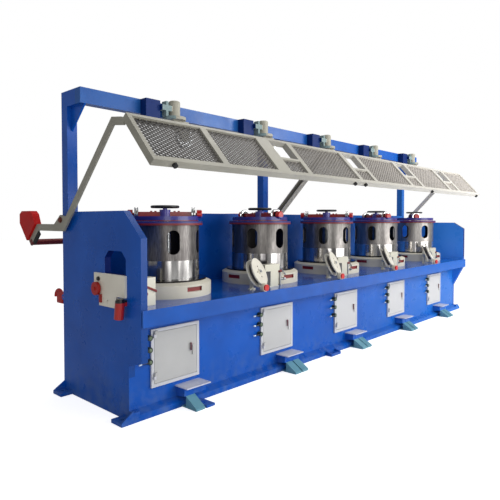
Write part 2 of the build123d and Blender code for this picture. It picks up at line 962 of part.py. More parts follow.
def die_clamps():
    """The clamp screw of each die box, and the first block's slanting clamp lever with its knob."""
    clamps = Part()
    for i in range(1, blocks):
        x0 = block_x[i] + die_body_offset + die_body_length / 2
        x1 = x0 + clamp_rod_length
        y = front + die_from_front + clamp_knob_radius
        z = table_height + die_body_height - clamp_drop
        clamps += bar_x(x0, x1, y, z, clamp_rod_radius)
        clamps += bar_x(x1, x1 + clamp_knob_length, y, z, clamp_knob_radius)
    x = left + first_lever_start
    z = table_height + first_lever_height
    y1 = front + die_from_front
    y0 = y1 - first_lever_thickness
    outline = [
        (x, z + first_lever_width / 2),
        (x, z - first_lever_width / 2),
        (x + first_lever_reach, z - first_lever_fall - first_lever_width / 2),
        (x + first_lever_reach, z - first_lever_fall + first_lever_width / 2),
    ]
    clamps += profile_y(outline, y0, y1)
    z_knob = table_height + first_knob_height
    clamps += bar_y(left + first_knob_offset, y1 - first_knob_length, y1, z_knob, first_knob_radius)
    return clamps


def coolant_taps():
    """The coolant tap beside each die box: post, tee with spout, side stub with knob, drip pipe."""
    taps = Part()
    for i in range(1, blocks):
        x = block_x[i] + tap_offset
        x0, x1, y0, top = die_rect(i)
        y = y0 + die_lid_depth / 2
        z_tee = table_height + tap_height
        tap = post(x, y, table_height, z_tee, tap_radius)
        tap += post(x, y, table_height, table_height + tap_base_height, tap_base_radius)
        tap += Pos(x, y, z_tee) * Sphere(tap_tee_radius)
        z_bore = top - die_lid_height / 2
        tap += bar_x(x1, x, y, z_tee, tap_spout_radius)
        z_stub = table_height + tap_stub_height
        tap += bar_x(x, x + tap_stub_length, y, z_stub, tap_spout_radius)
        tap += bar_x(x + tap_stub_length, x + tap_stub_length + tap_knob_length, y, z_stub, tap_knob_radius)
        fall = Edge.make_line((x, y, z_tee), (x + tap_pipe_reach, y, z_tee - tap_pipe_drop))
        ring = Plane(origin=fall @ 0, z_dir=fall % 0) * Circle(tap_spout_radius)
        tap += sweep(ring, path=fall)
        taps += tap
    return taps


def table_buttons():
    """The round push button on its collar at the table's front edge."""
    buttons = Part()
    for i in range(1, blocks):
        x = block_x[i] + button_offset
        y0 = front - lip_overhang - button_setback
        z = table_height + button_radius
        buttons += bar_y(x, y0, y0 + button_collar_length, z, button_radius)
        buttons += bar_y(x, y0 - button_head_length, y0, z, button_head_radius)
    return buttons


def entry_die_box():
    """The flat die plate under the entry opening, with its narrower foot and a clamp bar."""
    y0 = front + entry_box_start
    z1 = entry_bottom
    z0 = z1 - entry_box_height
    box = block(left - entry_box_depth, left, y0, y0 + entry_box_width, z0, z1)
    y_foot = front + entry_foot_start
    box += block(left - entry_box_depth, left, y_foot, y_foot + entry_foot_width, z0 - entry_foot_height, z0)
    y_hole = y_foot + entry_foot_hole_start
    box -= bar_x(left - entry_box_depth, left, y_hole, z0 - entry_foot_hole_height, entry_foot_hole)
    y_bar = front + entry_bar_start
    box += block(left - entry_box_depth - entry_bar_depth, left - entry_box_depth, y_bar,
                 y_bar + entry_bar_width, z0 - entry_bar_height, z0)
    x, y, z = entry_wheel_centre()
    box -= bar_x(left - entry_box_depth, left, y, z, entry_pin_radius + bearing_clearance)
    return box


def entry_wheel_centre():
    """Where the entry hand wheel turns, on the face of the die plate."""
    y = front + entry_wheel_from_front
    return left - entry_box_depth, y, entry_bottom - entry_wheel_drop


def entry_wheel():
    """The small hand wheel of the entry die plate, with its pin."""
    x, y, z = entry_wheel_centre()
    x_rim = x - entry_wheel_gap
    wheel = bar_x(x_rim - entry_wheel_thickness, x_rim, y, z, entry_wheel_radius)
    return wheel + bar_x(x_rim, x_rim + entry_pin_length - entry_box_depth, y, z, entry_pin_radius)


def entry_knob():
    """The hanging cylinder beside the die plate: arm, cap and a slightly leaning body."""
    x = left - knob_standoff
    y = front + knob_from_front
    z = knob_top
    knob = Pos(x, y, z) * Rot(knob_lean, 0, 0) * Cylinder(
        knob_radius, knob_length, align=(Align.CENTER, Align.CENTER, Align.MAX))
    knob += post(x, y, z - knob_cap_height / 2, z + knob_cap_height / 2, knob_cap_radius)
    return knob + block(x, left, y - knob_arm_width / 2, y + knob_arm_width / 2,
                        z - knob_arm_height, z)


# Cabinet front fittings
def coolant_valves():
    """Three small ball valves with side levers up the left edge of each door."""
    valves = Part()
    for i in range(blocks):
        x = block_x[i] + valve_offset
        for k in range(3):
            z = valve_top - k * valve_pitch
            y0 = panel_front - valve_length
            y_lever = y0 + valve_flange / 2
            valve = bar_y(x, y0, panel_front, z, valve_neck_radius)
            valve += bar_y(x, panel_front - valve_flange, panel_front, z, valve_radius)
            valve += bar_y(x, y0, y0 + 2 * valve_flange, z, valve_radius)
            valve += bar_x(x - valve_lever_length, x, y_lever, z, valve_lever_radius)
            valves += valve + bar_x(x - valve_lever_length - valve_tip_length, x - valve_lever_length,
                                    y_lever, z, valve_tip_radius)
    return valves


def pedal_boxes():
    """The blue box over each pair of pedals."""
    boxes = Part()
    for i in range(blocks):
        x = block_x[i] + hood_offset
        outline = [
            (panel_front, rail_height),
            (front - pedal_box_reach, pedal_height),
            (front - pedal_box_reach, hood_height),
            (panel_front, hood_height),
        ]
        boxes += profile_x(outline, x - hood_width / 2 + hood_overlap, x + hood_width / 2 - hood_overlap)
    return boxes


def pedal_hoods():
    """The cream cover plate on each pedal box."""
    hoods = Part()
    for i in range(blocks):
        x = block_x[i] + hood_offset
        hoods += block(x - hood_width / 2, x + hood_width / 2, panel_front - hood_depth, panel_front,
                       hood_height, hood_height + hood_thickness)
    return hoods


def pedal_x(i, side):
    """The middle of one pedal of a pair."""
    return block_x[i] + hood_offset + side * pedal_spacing / 2


def foot_pedals():
    """Two wedge pedals on the floor under each hood, but only the left one on the first block."""
    y_back = front - pedal_box_reach - running_gap
    outline = [
        (front, 0),
        (front - pedal_length, 0),
        (front - pedal_length, pedal_toe_height),
        (y_back, pedal_height),
        (y_back, pedal_base_thickness),
        (front, pedal_base_thickness),
    ]
    pedals = Part()
    for i in range(blocks):
        for side in (-1, 1) if i else (-1,):
            x = pedal_x(i, side)
            pedals += profile_x(outline, x - pedal_width / 2, x + pedal_width / 2)
    return pedals


def flat_pedal():
    """The low flat treadle beside the first block's wedge pedal."""
    x = pedal_x(0, 1)
    return block(x - pedal_width / 2, x + pedal_width / 2, front - pedal_length, front,
                 0, pedal_toe_height)


# Swinging guard
guard_x0 = left - arm_gap - arm_thickness
guard_x1 = right + arm_gap + arm_thickness


def guard_point(along, behind):
    """A (y, z) place on the guard: down its slope, and behind its front face."""
    a = radians(guard_slope)
    y = front + guard_top_from_front - along * cos(a) + behind * sin(a)
    z = guard_top_height - along * sin(a) - behind * cos(a)
    return y, z


def guard_slab(x0, x1, along0, along1, behind0=0.0, behind1=guard_depth):
    """A flat bar of the guard between two places down its slope."""
    corners = [(along0, behind0), (along1, behind0), (along1, behind1), (along0, behind1)]
    return profile_x([guard_point(a, b) for a, b in corners], x0, x1)


def guard_openings():
    """Each open bay of the guard: x range, range down the slope, and whether it has mesh."""
    top = guard_top_bar
    bottom = guard_length - guard_bottom_bar
    bays = []
    first = block_x[0] + guard_first_divider_offset
    bays.append((guard_x0 + guard_side_bar, first, top, bottom, True))
    start = first + guard_divider
    for i in range(1, blocks):
        window = block_x[i] + guard_window_offset
        divider = guard_wide_divider if i == 1 else guard_divider
        bays.append((start, window - divider, top, bottom, True))
        window_bottom = top + guard_window_height
        bays.append((window, window + guard_window_width, top, window_bottom, False))
        bays.append((window, window + guard_window_width, window_bottom + guard_top_bar, bottom, True))
        start = window + guard_window_width + guard_divider
    bays.append((start, guard_x1 - guard_side_bar, top, bottom, True))
    return bays


def guard_frame():
    """The guard's frame of flat bars, open at each bay."""
    frame = guard_slab(guard_x0, guard_x1, 0, guard_length)
    for x0, x1, a0, a1, meshed in guard_openings():
        frame -= guard_slab(x0, x1, a0, a1, -1.0, guard_depth + 1.0)
    return frame


def guard_mesh():
    """The mesh panels, as thin sheets with a plain grid of openings, let into the bays."""
    panels = Part()
    behind = guard_side_bar / 2
    for x0, x1, a0, a1, meshed in guard_openings():
        if meshed:
            columns = max(1, round((x1 - x0) / mesh_cell))
            rows = max(1, round((a1 - a0) / mesh_cell))
            step = (x1 - x0) / columns
            fall = (a1 - a0) / rows
            opening = Box(step - mesh_bar, fall - mesh_bar, mesh_thickness)
            places = GridLocations(step, fall, columns, rows)
            sheet = Box(x1 - x0, a1 - a0, mesh_thickness) - [place * opening for place in places]
            y, z = guard_point((a0 + a1) / 2, behind + mesh_thickness / 2)
            panels += Pos((x0 + x1) / 2, y, z) * Rot(guard_slope, 0, 0) * sheet
    return panels


def middle_arm_x():
    """The faces of the middle arm, beside the middle post."""
    x0 = middle_post_x + post_width / 2 + middle_arm_gap
    return x0, x0 + middle_arm_thickness


def arm_faces():
    """The two faces of each arm."""
    return [(guard_x0, guard_x0 + arm_thickness), middle_arm_x(), (guard_x1 - arm_thickness, guard_x1)]


def arm_path():
    """The cranked line of an arm, from the guard's back over the pivot's knee to the lever's end."""
    return [
        guard_point(arm_root, guard_depth),
        (front + elbow_from_front, elbow_height),
        (pivot_y - knee_setback, lever_height),
        (pivot_y + lever_bend_reach, lever_height),
        (pivot_y + lever_end_reach, lever_end_height),
    ]


def guard_arms():
    """Three cranked arms, flat at the ends and an open channel in the middle."""
    path = arm_path()
    knee = path[2]
    neck = [
        knee,
        (knee[0] - neck_back, knee[1] + neck_back),
        (pivot_y - neck_rise / 2, pivot_height + neck_rise),
        (pivot_y + neck_rise / 2, pivot_height + neck_rise),
        (pivot_y + neck_reach, knee[1] + arm_width / 2),
        (pivot_y + neck_reach, knee[1]),
    ]
    arms = Part()
    bar_y0, bar_z0 = tie_bar_centre()
    middle = middle_arm_x()
    for x0, x1 in arm_faces():
        arm = profile_x(band(path, arm_width), x0, x1)
        if (x0, x1) == middle:
            inner = profile_x(band(path[1:3], arm_width - 2 * middle_arm_web), x0, x1 - middle_arm_web)
            arm -= inner
        arm += profile_x(neck, x0, x1)
        arm += bar_x(x0, x1, pivot_y, pivot_height, boss_radius)
        arm -= bar_x(x0, x1, pivot_y, pivot_height, pivot_radius + bearing_clearance)
        arm -= guard_slab(guard_x0, guard_x1, -guard_length, guard_length, -guard_length, guard_depth)
        arm -= bar_x(x0, x1, bar_y0, bar_z0, tie_bar_radius)
        arms += max(arm.solids(), key=lambda solid: solid.volume)
    return arms


def tie_bar_centre():
    """The (y, z) axis of the tie bar that joins the rear levers."""
    return pivot_y + lever_end_reach - tie_bar_setback, lever_end_height + tie_bar_rise


def guard_tie_bar():
    """The round bar that joins the rear levers."""
    y, z = tie_bar_centre()
    return bar_x(guard_x0, guard_x1, y, z, tie_bar_radius)


def guard_weights():
    """The counterweight on the back edge of each rear lever."""
    bend, end = arm_path()[-2:]
    grip = (bend[0] + weight_grip * (end[0] - bend[0]), bend[1] + weight_grip * (end[1] - bend[1]))
    y = pivot_y + weight_reach
    top = lever_height + weight_height
    outline = [
        bend,
        grip,
        (y, lever_height + weight_heel),
        (y, top - weight_crown),
        (y - (weight_length - weight_top_length) / 2, top),
        (y - weight_top_length - (weight_length - weight_top_length) / 2, top),
        (y - weight_length, top - weight_crown),
    ]
    before = (bend[0] - weight_length, lever_height)
    lower = band([before, bend, end], arm_width)
    weights = Part()
    for x0, x1 in arm_faces():
        middle = (x0 + x1) / 2
        weight = profile_x(outline, middle - weight_thickness / 2, middle + weight_thickness / 2)
        weight -= profile_x(lower, middle - weight_thickness, middle + weight_thickness)
        weights += max(weight.solids(), key=lambda solid: solid.volume)
    return weights


def guard_bumpers():
    """The rubber buffers under the guard's bottom bar, and the pad under each rear lever."""
    bumpers = Part()
    for place in bumper_places:
        y, z = guard_point(guard_length, guard_depth / 2)
        foot = Pos(left + place, y, z) * Rot(guard_slope - 90, 0, 0) * Cylinder(
            bumper_radius, bumper_height, align=(Align.CENTER, Align.CENTER, Align.MAX))
        bumpers += foot
    bend, end = arm_path()[-2:]
    slope = atan2(end[1] - bend[1], end[0] - bend[0])
    along = (cos(slope), sin(slope))
    out = (sin(slope), -cos(slope))
    corners = []
    for step, depth in ((pad_start, 0), (pad_start + pad_length, 0),
                        (pad_start + pad_length, pad_thickness), (pad_start, pad_thickness)):
        reach = arm_width / 2 + depth
        corners.append((bend[0] + along[0] * step + out[0] * reach,
                        bend[1] + along[1] * step + out[1] * reach))
    for x0, x1 in arm_faces():
        bumpers += profile_x(corners, x0, x1)
    return bumpers


def guard_bearings():
    """The pivot pins on the wall ends and across the notch."""
    y = pivot_y
    pins = Part()
    pins += bar_x(guard_x0, left, y, pivot_height, pivot_radius)
    x0, x1 = middle_arm_x()
    pins += bar_x(x0 - notch_clearance, x1 + notch_clearance, y, pivot_height, pivot_radius)
    pins += bar_x(right, guard_x1, y, pivot_height, pivot_radius)
    return pins


# Rear lever
def rear_lever():
    """The red bent lever behind the left end, with its pin."""
    x = left + lever_bracket_offset + lever_bracket_thickness
    y = back + rear_lever_pivot
    z = rear_lever_height
    path = [
        (y, z),
        (y + rear_lever_length / 2, z + rear_lever_rise),
        (y + rear_lever_length, z + rear_lever_rise / 2),
    ]
    lever = profile_x(band(path, rear_lever_width), x + running_gap,
                      x + running_gap + rear_lever_thickness)
    lever += bar_x(x + running_gap, x + running_gap + rear_lever_thickness, y, z, rear_lever_width / 2)
    return lever + bar_x(x - lever_bracket_thickness, x + running_gap, y, z, rear_lever_pin)


def lever_bracket():
    """The small bracket that carries the rear lever, bored for its pin."""
    x0 = left + lever_bracket_offset
    x1 = x0 + lever_bracket_thickness
    y = back + rear_lever_pivot
    z = rear_lever_height
    bracket = block(x0, x1, back, y, z - rear_lever_width, z + rear_lever_width)
    bracket += bar_x(x0, x1, y, z, rear_lever_width)
    return bracket - bar_x(x0, x1, y, z, rear_lever_pin + bearing_clearance)


nodes["base_frame"] = floor_frame()
nodes["front_panel"] = front_panel()
nodes["door_frames"] = door_frames()
nodes["table_top"] = table_top()
nodes["back_wall"] = back_wall()
nodes["left_end_plate"] = left_end_plate()
nodes["right_end_plate"] = right_end_plate()
nodes["rear_posts"] = rear_posts()
nodes["portal_arms"] = portal_arms()
nodes["overhead_beam"] = overhead_beam()
nodes["sheave_brackets"] = sheave_brackets()
nodes["block_housings"] = block_housings()
nodes["drum_spindles"] = drum_spindles()
nodes["disc_brackets"] = disc_brackets()
nodes["die_boxes"] = die_boxes()
nodes["first_die_box"] = first_die_box()
nodes["die_clamps"] = die_clamps()
nodes["coolant_taps"] = coolant_taps()
nodes["table_buttons"] = table_buttons()
nodes["entry_die_box"] = entry_die_box()
nodes["entry_wheel"] = entry_wheel()
nodes["entry_knob"] = entry_knob()
nodes["coolant_valves"] = coolant_valves()
nodes["pedal_boxes"] = pedal_boxes()
nodes["pedal_hoods"] = pedal_hoods()
nodes["foot_pedals"] = foot_pedals()
nodes["flat_pedal"] = flat_pedal()
nodes["guard_frame"] = guard_frame()
nodes["guard_mesh"] = guard_mesh()
nodes["guard_arms"] = guard_arms()
nodes["guard_weights"] = guard_weights()
nodes["guard_tie_bar"] = guard_tie_bar()
nodes["guard_bumpers"] = guard_bumpers()
nodes["guard_bearings"] = guard_bearings()
nodes["rear_lever"] = rear_lever()
nodes["lever_bracket"] = lever_bracket()
for i in range(blocks):
    nodes[f"door_{i + 1}"] = door(i)
    nodes[f"drum_{i + 1}"] = drum(i)
    nodes[f"flyer_{i + 1}"] = flyer(i)
    nodes[f"sheave_{i + 1}"] = sheave(i)
for i in range(1, blocks):
    nodes[f"guide_disc_{i + 1}"] = guide_disc(i)

os.makedirs("parts", exist_ok=True)
for name, shape in nodes.items():
    export_step(shape, f"parts/{name}.step")
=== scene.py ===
"""Wire drawing line of five blocks: finishes, guard mesh, bolts and small fittings."""
import logging
import math
from dataclasses import dataclass, field
from enum import Enum

import bpy
from mathutils import Matrix, Vector


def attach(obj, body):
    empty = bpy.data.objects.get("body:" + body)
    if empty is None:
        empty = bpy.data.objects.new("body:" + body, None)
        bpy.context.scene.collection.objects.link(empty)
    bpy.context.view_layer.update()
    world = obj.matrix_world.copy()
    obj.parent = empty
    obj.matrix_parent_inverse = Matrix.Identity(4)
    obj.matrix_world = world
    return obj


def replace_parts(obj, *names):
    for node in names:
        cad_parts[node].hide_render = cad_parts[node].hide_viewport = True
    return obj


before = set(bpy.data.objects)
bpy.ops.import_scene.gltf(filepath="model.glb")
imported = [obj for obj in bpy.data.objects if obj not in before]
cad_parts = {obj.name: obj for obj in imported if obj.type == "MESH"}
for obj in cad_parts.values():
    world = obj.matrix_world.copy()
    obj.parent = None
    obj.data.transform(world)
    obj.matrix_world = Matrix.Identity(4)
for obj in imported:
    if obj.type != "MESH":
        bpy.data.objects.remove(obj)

LOG = logging.getLogger("drawing_line")
Point = tuple[float, float, float]
Pair = tuple[float, float]      # two sizes, or a place in a plane
Span = tuple[float, float]      # a low and a high limit
Bar = tuple[float, float]       # a radius and a length
Colour = tuple[int, int, int]
Socket = bpy.types.NodeSocket
Piece = bpy.types.Object

BLOCKS = 5
BLOCK_PITCH = 1.180
FIRST_BLOCK = -2.340
BLOCK_Y = -0.040
LEFT = -2.960
RIGHT = 2.960
FRONT = -0.490

# A limit farther off than any piece, the part of a noise pattern that is stretched to a full
# range, and the distance under which the points of a swept form are merged.
FAR = 10.0
PATTERN: Span = (0.3, 0.7)
WELD = 0.0002


class Axis(Enum):
    """The main directions, each as a unit vector."""

    X = (1.0, 0.0, 0.0)
    Y = (0.0, 1.0, 0.0)
    Z = (0.0, 0.0, 1.0)
    BACK_X = (-1.0, 0.0, 0.0)

    def vector(self) -> Vector:
        """Give the direction as a vector."""
        return Vector(self.value)


def linear(colour: Colour) -> tuple[float, float, float, float]:
    """Turn a display colour into scene-linear values, by the curve of a standard screen.

    Args:
        colour: Red, green and blue from 0 to 255.

    Returns:
        The four values that a shader socket takes.
    """
    values = []
    for part in colour:
        share = part / 255
        values.append(share / 12.92 if share <= 0.04045 else ((share + 0.055) / 1.055) ** 2.4)
    return (values[0], values[1], values[2], 1.0)


class Graph:
    """A material's node tree, built up one node at a time."""

    def __init__(self, name: str) -> None:
        """Make an empty material with one principled shader.

        Args:
            name: The material's name.
        """
        self.material = bpy.data.materials.new(name)
        self.material.use_nodes = True
        self.nodes = self.material.node_tree.nodes
        self.links = self.material.node_tree.links
        self.nodes.clear()
        self.shader = self.nodes.new("ShaderNodeBsdfPrincipled")
        output = self.nodes.new("ShaderNodeOutputMaterial")
        self.links.new(self.shader.outputs[0], output.inputs["Surface"])
        self.place = self.nodes.new("ShaderNodeTexCoord").outputs["Object"]

    def link(self, source: Socket, target: str) -> None:
        """Join a socket to one of the shader's inputs."""
        self.links.new(source, self.shader.inputs[target])

    def mapped(self, scale: Point, centre: Point = (0, 0, 0), turns: Point = (0, 0, 0)) -> Socket:
        """Centre, turn and stretch the object coordinates.

        Args:
            scale: How many times finer the pattern is along each axis.
            centre: The point that becomes the origin.
            turns: The turns about X, Y and Z that the pattern follows, in degrees.

        Returns:
            The vector socket of the mapped place.
        """
        mapping = self.nodes.new("ShaderNodeMapping")
        mapping.vector_type = "TEXTURE"
        mapping.inputs["Location"].default_value = centre
        mapping.inputs["Rotation"].default_value = tuple(math.radians(turn) for turn in turns)
        mapping.inputs["Scale"].default_value = tuple(1 / times for times in scale)
        self.links.new(self.place, mapping.inputs["Vector"])
        return mapping.outputs["Vector"]

    def noise(self, vector: Socket, scale: float, detail: float = 3.0) -> Socket:
        """Add a noise pattern.

        Args:
            vector: Where the pattern is read.
            scale: Its fineness, in spots per metre.
            detail: How many finer layers it has.

        Returns:
            The pattern's value socket.
        """
        noise = self.nodes.new("ShaderNodeTexNoise")
        noise.inputs["Scale"].default_value = scale
        noise.inputs["Detail"].default_value = detail
        self.links.new(vector, noise.inputs["Vector"])
        return noise.outputs["Fac"]

    def remap(self, value: Socket, low: float, high: float, to_low: float = 0.0,
              to_high: float = 1.0) -> Socket:
        """Stretch a range of values to another range, held at its ends.

        Args:
            value: The socket to stretch.
            low: The value that becomes to_low.
            high: The value that becomes to_high.
            to_low: The result's low end.
            to_high: The result's high end.

        Returns:
            The stretched value's socket.
        """
        node = self.nodes.new("ShaderNodeMapRange")
        ends = {"From Min": low, "From Max": high, "To Min": to_low, "To Max": to_high}
        for name, number in ends.items():
            node.inputs[name].default_value = number
        self.links.new(value, node.inputs["Value"])
        return node.outputs["Result"]

    def math(self, operation: str, first: Socket | float, second: Socket | float = 0.0) -> Socket:
        """Combine two values with a math node.

        Args:
            operation: The node's operation.
            first: The first value or socket.
            second: The second value or socket.

        Returns:
            The result's socket.
        """
        node = self.nodes.new("ShaderNodeMath")
        node.operation = operation
        for index, item in enumerate((first, second)):
            if isinstance(item, (int, float)):
                node.inputs[index].default_value = item
            else:
                self.links.new(item, node.inputs[index])
        return node.outputs[0]

    def length(self, first: Socket, second: Socket) -> Socket:
        """Give the length of two parts at right angles."""
        squares = (self.math("MULTIPLY", part, part) for part in (first, second))
        return self.math("SQRT", self.math("ADD", *squares))

    def either(self, first: Socket | None, second: Socket) -> Socket:
        """Give the larger of two shares, or the second where there is no first yet."""
        return second if first is None else self.math("MAXIMUM", first, second)

    def mix(self, share: Socket, first: Socket | Colour, second: Socket | Colour) -> Socket:
        """Blend two colours.

        Args:
            share: How much of the second colour shows, from 0 to 1.
            first: The colour at 0, as a socket or a display colour.
            second: The colour at 1, as a socket or a display colour.

        Returns:
            The blended colour socket.
        """
        node = self.nodes.new("ShaderNodeMix")
        node.data_type = "RGBA"
        self.links.new(share, node.inputs["Factor"])
        for socket, item in ((node.inputs[6], first), (node.inputs[7], second)):
            if isinstance(item, tuple):
                socket.default_value = linear(item)
            else:
                self.links.new(item, socket)
        return node.outputs[2]

    def parts(self, vector: Socket) -> tuple[Socket, ...]:
        """Split a vector socket in its three values.

        Args:
            vector: The socket to split.

        Returns:
            The sockets of X, Y and Z.
        """
        node = self.nodes.new("ShaderNodeSeparateXYZ")
        self.links.new(vector, node.inputs[0])
        return tuple(node.outputs)

    def bump(self, height: Socket, depth: float, strength: float) -> None:
        """Give the shader a relief.

        Args:
            height: The relief's value socket.
            depth: How deep a full step is, in metres.
            strength: How much of it shows.
        """
        node = self.nodes.new("ShaderNodeBump")
        node.inputs["Strength"].default_value = strength
        node.inputs["Distance"].default_value = depth
        self.links.new(height, node.inputs["Height"])
        self.link(node.outputs["Normal"], "Normal")

    def plain(self, **values: float) -> None:
        """Set the shader's own sockets to even values."""
        for name, value in values.items():
            self.shader.inputs[name.replace("_", " ")].default_value = value


@dataclass(frozen=True)
class Finish:
    """Sprayed paint with a faint orange peel, dulled and mottled a little."""

    name: str
    colour: Colour
    shade: Colour
    rough: float = 0.35
    rough_spread: float = 0.12
    mottle: float = 3.0
    mottle_range: Span = (0.35, 0.7)
    wiped: float = 2.3
    peel: float = 260.0
    peel_depth: float = 0.0004
    peel_strength: float = 0.4
    coat: float = 0.0
    coat_rough: float = 0.12
    metal: float = 0.0
    specular: float = 0.5

    def tone(self, graph: Graph) -> Socket:
        """Give the colour before grime, mottled between the colour and its shade."""
        spots = graph.noise(graph.place, self.mottle, detail=4.0)
        return graph.mix(graph.remap(spots, *self.mottle_range), self.colour, self.shade)

    def gloss(self, graph: Graph) -> Socket:
        """Give the roughness, uneven where the paint was wiped."""
        marks = graph.noise(graph.place, self.mottle * self.wiped, detail=5.0)
        return graph.remap(marks, *PATTERN, self.rough - self.rough_spread / 2,
                           self.rough + self.rough_spread / 2)

    def relief(self, graph: Graph) -> None:
        """Give the paint its orange peel."""
        graph.bump(graph.noise(graph.place, self.peel, detail=2.0), self.peel_depth, self.peel_strength)

    def make(self) -> bpy.types.Material:
        """Build the material.

        Returns:
            The finished material.
        """
        graph = Graph(self.name)
        graph.link(self.tone(graph), "Base Color")
        graph.link(self.gloss(graph), "Roughness")
        self.relief(graph)
        graph.plain(Metallic=self.metal, Coat_Weight=self.coat, Coat_Roughness=self.coat_rough,
                    Specular_IOR_Level=self.specular)
        return graph.material


@dataclass(frozen=True)
class DustyPaint(Finish):
    """Paint with dust up to a height above the floor, or none at a height of 0."""

    dust: Colour = (96, 120, 160)
    dust_top: float = 0.0
    dust_share: float = 0.55
    dust_grain: float = 14.0
    dust_range: Span = (0.4, 0.75)

    def tone(self, graph: Graph) -> Socket:
        """Give the colour, with dust that fades upwards.

        Args:
            graph: The material's nodes.

        Returns:
            The colour's socket.
        """
        base = super().tone(graph)
        if self.dust_top <= 0:
            return base
        fade = graph.remap(graph.parts(graph.place)[2], 0.0, self.dust_top, self.dust_share, 0.0)
        speck = graph.remap(graph.noise(graph.place, self.dust_grain, detail=6.0), *self.dust_range)
        return graph.mix(graph.math("MULTIPLY", fade, speck), base, self.dust)


@dataclass(frozen=True)
class PaintedLightGradient(DustyPaint):
    """Painted light: paint that pales evenly towards the right end of the line."""

    pale: Colour = (226, 222, 213)
    start: float = -2.9
    end: float = 2.9

    def tone(self, graph: Graph) -> Socket:
        """Give the colour, with painted light paling it along X."""
        share = graph.remap(graph.parts(graph.place)[0], self.start, self.end)
        return graph.mix(share, super().tone(graph), self.pale)


@dataclass(frozen=True)
class BrushedSteel(Finish):
    """Bare steel with fine lines along one direction."""

    lines: Point = (4.0, 4.0, 500.0)
    line_strength: float = 0.25

    def make(self) -> bpy.types.Material:
        """Build the material with its fine lines.

        Returns:
            The finished material.
        """
        graph = Graph(self.name)
        lines = graph.noise(graph.mapped(self.lines), scale=1.0, detail=2.0)
        graph.link(graph.mix(graph.remap(lines, *PATTERN), self.colour, self.shade), "Base Color")
        graph.link(graph.remap(lines, *PATTERN, self.rough, self.rough + self.rough_spread), "Roughness")
        graph.bump(lines, self.peel_depth, self.line_strength)
        graph.plain(Metallic=self.metal)
        return graph.material


@dataclass(frozen=True)
class TurnedSteel(Finish):
    """A turned drum: dark foot, polished band with painted shade, dull wall with upright streaks, red rim.
    """

    centre: Point = (0.0, 0.0, 0.0)
    foot_top: float = 0.0135
    polished_top: float = 0.162
    polished_edge: float = 0.002
    polished_rough: float = 0.13
    rim_bottom: float = 0.4405
    lid_bottom: float = 0.457
    inner_radius: float = 0.2715
    # The polished band is streaked between a bright tone and painted shade.
    bright: Colour = (242, 238, 232)
    band_shade: Colour = (176, 172, 168)
    foot: Colour = (46, 44, 44)
    rim: Colour = (120, 26, 28)
    lid: Colour = (46, 42, 116)
    inside: Colour = (26, 18, 18)
    painted_rough: float = 0.4
    streaks: float = 2.4
    streak_range: Span = (0.34, 0.66)
    band_range: Span = (0.38, 0.62)
    hairs: float = 30.0
    hair_range: Span = (0.42, 0.62)
    hair_share: float = 0.6
    drift: float = 0.5
    turning: Point = (3.0, 3.0, 900.0)
    turning_strength: float = 0.12

    def wall(self, graph: Graph, angle: Socket, height: Socket, above: Socket) -> Socket:
        """Give the wall's colour: polished below, dull with streaks and hairs above.

        Args:
            graph: The material's nodes.
            angle: The angle about the drum's axis.
            height: The height above the drum's foot.
            above: The share of the dull wall, from 0 to 1.

        Returns:
            The colour's socket.
        """
        around = graph.nodes.new("ShaderNodeCombineXYZ")
        graph.links.new(angle, around.inputs[0])
        graph.links.new(graph.math("MULTIPLY", height, self.drift), around.inputs[2])
        streaks = graph.noise(around.outputs[0], self.streaks, detail=5.0)
        hairs = graph.remap(graph.noise(around.outputs[0], self.hairs, detail=4.0), *self.hair_range)
        dull = graph.mix(graph.remap(streaks, *self.streak_range), self.shade, self.colour)
        dull = graph.mix(graph.math("MULTIPLY", hairs, self.hair_share), dull, self.shade)
        polished = graph.mix(graph.remap(streaks, *self.band_range), self.band_shade, self.bright)
        return graph.mix(above, polished, dull)

    def make(self) -> bpy.types.Material:
        """Build the material round the drum's own axis.

        Returns:
            The finished material.
        """
        graph = Graph(self.name)
        x, y, z = graph.parts(graph.mapped((1, 1, 1), self.centre))
        above = graph.remap(z, self.polished_top, self.polished_top + self.polished_edge)
        foot = graph.math("LESS_THAN", z, self.foot_top)
        rim = graph.math("GREATER_THAN", z, self.rim_bottom)
        lid = graph.math("GREATER_THAN", z, self.lid_bottom)
        inside = graph.math("LESS_THAN", graph.length(x, y), self.inner_radius)
        tone = self.wall(graph, graph.math("ARCTAN2", y, x), z, above)
        for share, colour in ((foot, self.foot), (rim, self.rim), (lid, self.lid), (inside, self.inside)):
            tone = graph.mix(share, tone, colour)
        graph.link(tone, "Base Color")
        painted = graph.either(rim, inside)
        graph.link(graph.math("MULTIPLY", graph.math("SUBTRACT", 1.0, painted), self.metal), "Metallic")
        rough = graph.remap(above, 0, 1, self.polished_rough, self.rough)
        graph.link(graph.either(rough, graph.math("MULTIPLY", painted, self.painted_rough)), "Roughness")
        turning = graph.noise(graph.mapped(self.turning), scale=1.0, detail=2.0)
        graph.bump(turning, self.peel_depth, self.turning_strength)
        return graph.material


class Of(Enum):
    """What a patch of colour is limited by."""

    ALONG = "distance along X, either way"
    X = "place along X"
    Y = "place along Y"
    HEIGHT = "place along Z"
    RADIUS = "distance from the Z axis"
    REACH = "distance from the X axis at the axle's height"


@dataclass(frozen=True)
class Patch:
    """A colour where every measure is within its limits."""

    colour: Colour
    limits: dict[Of, Span]
    metal: bool = False
    matt: bool = False


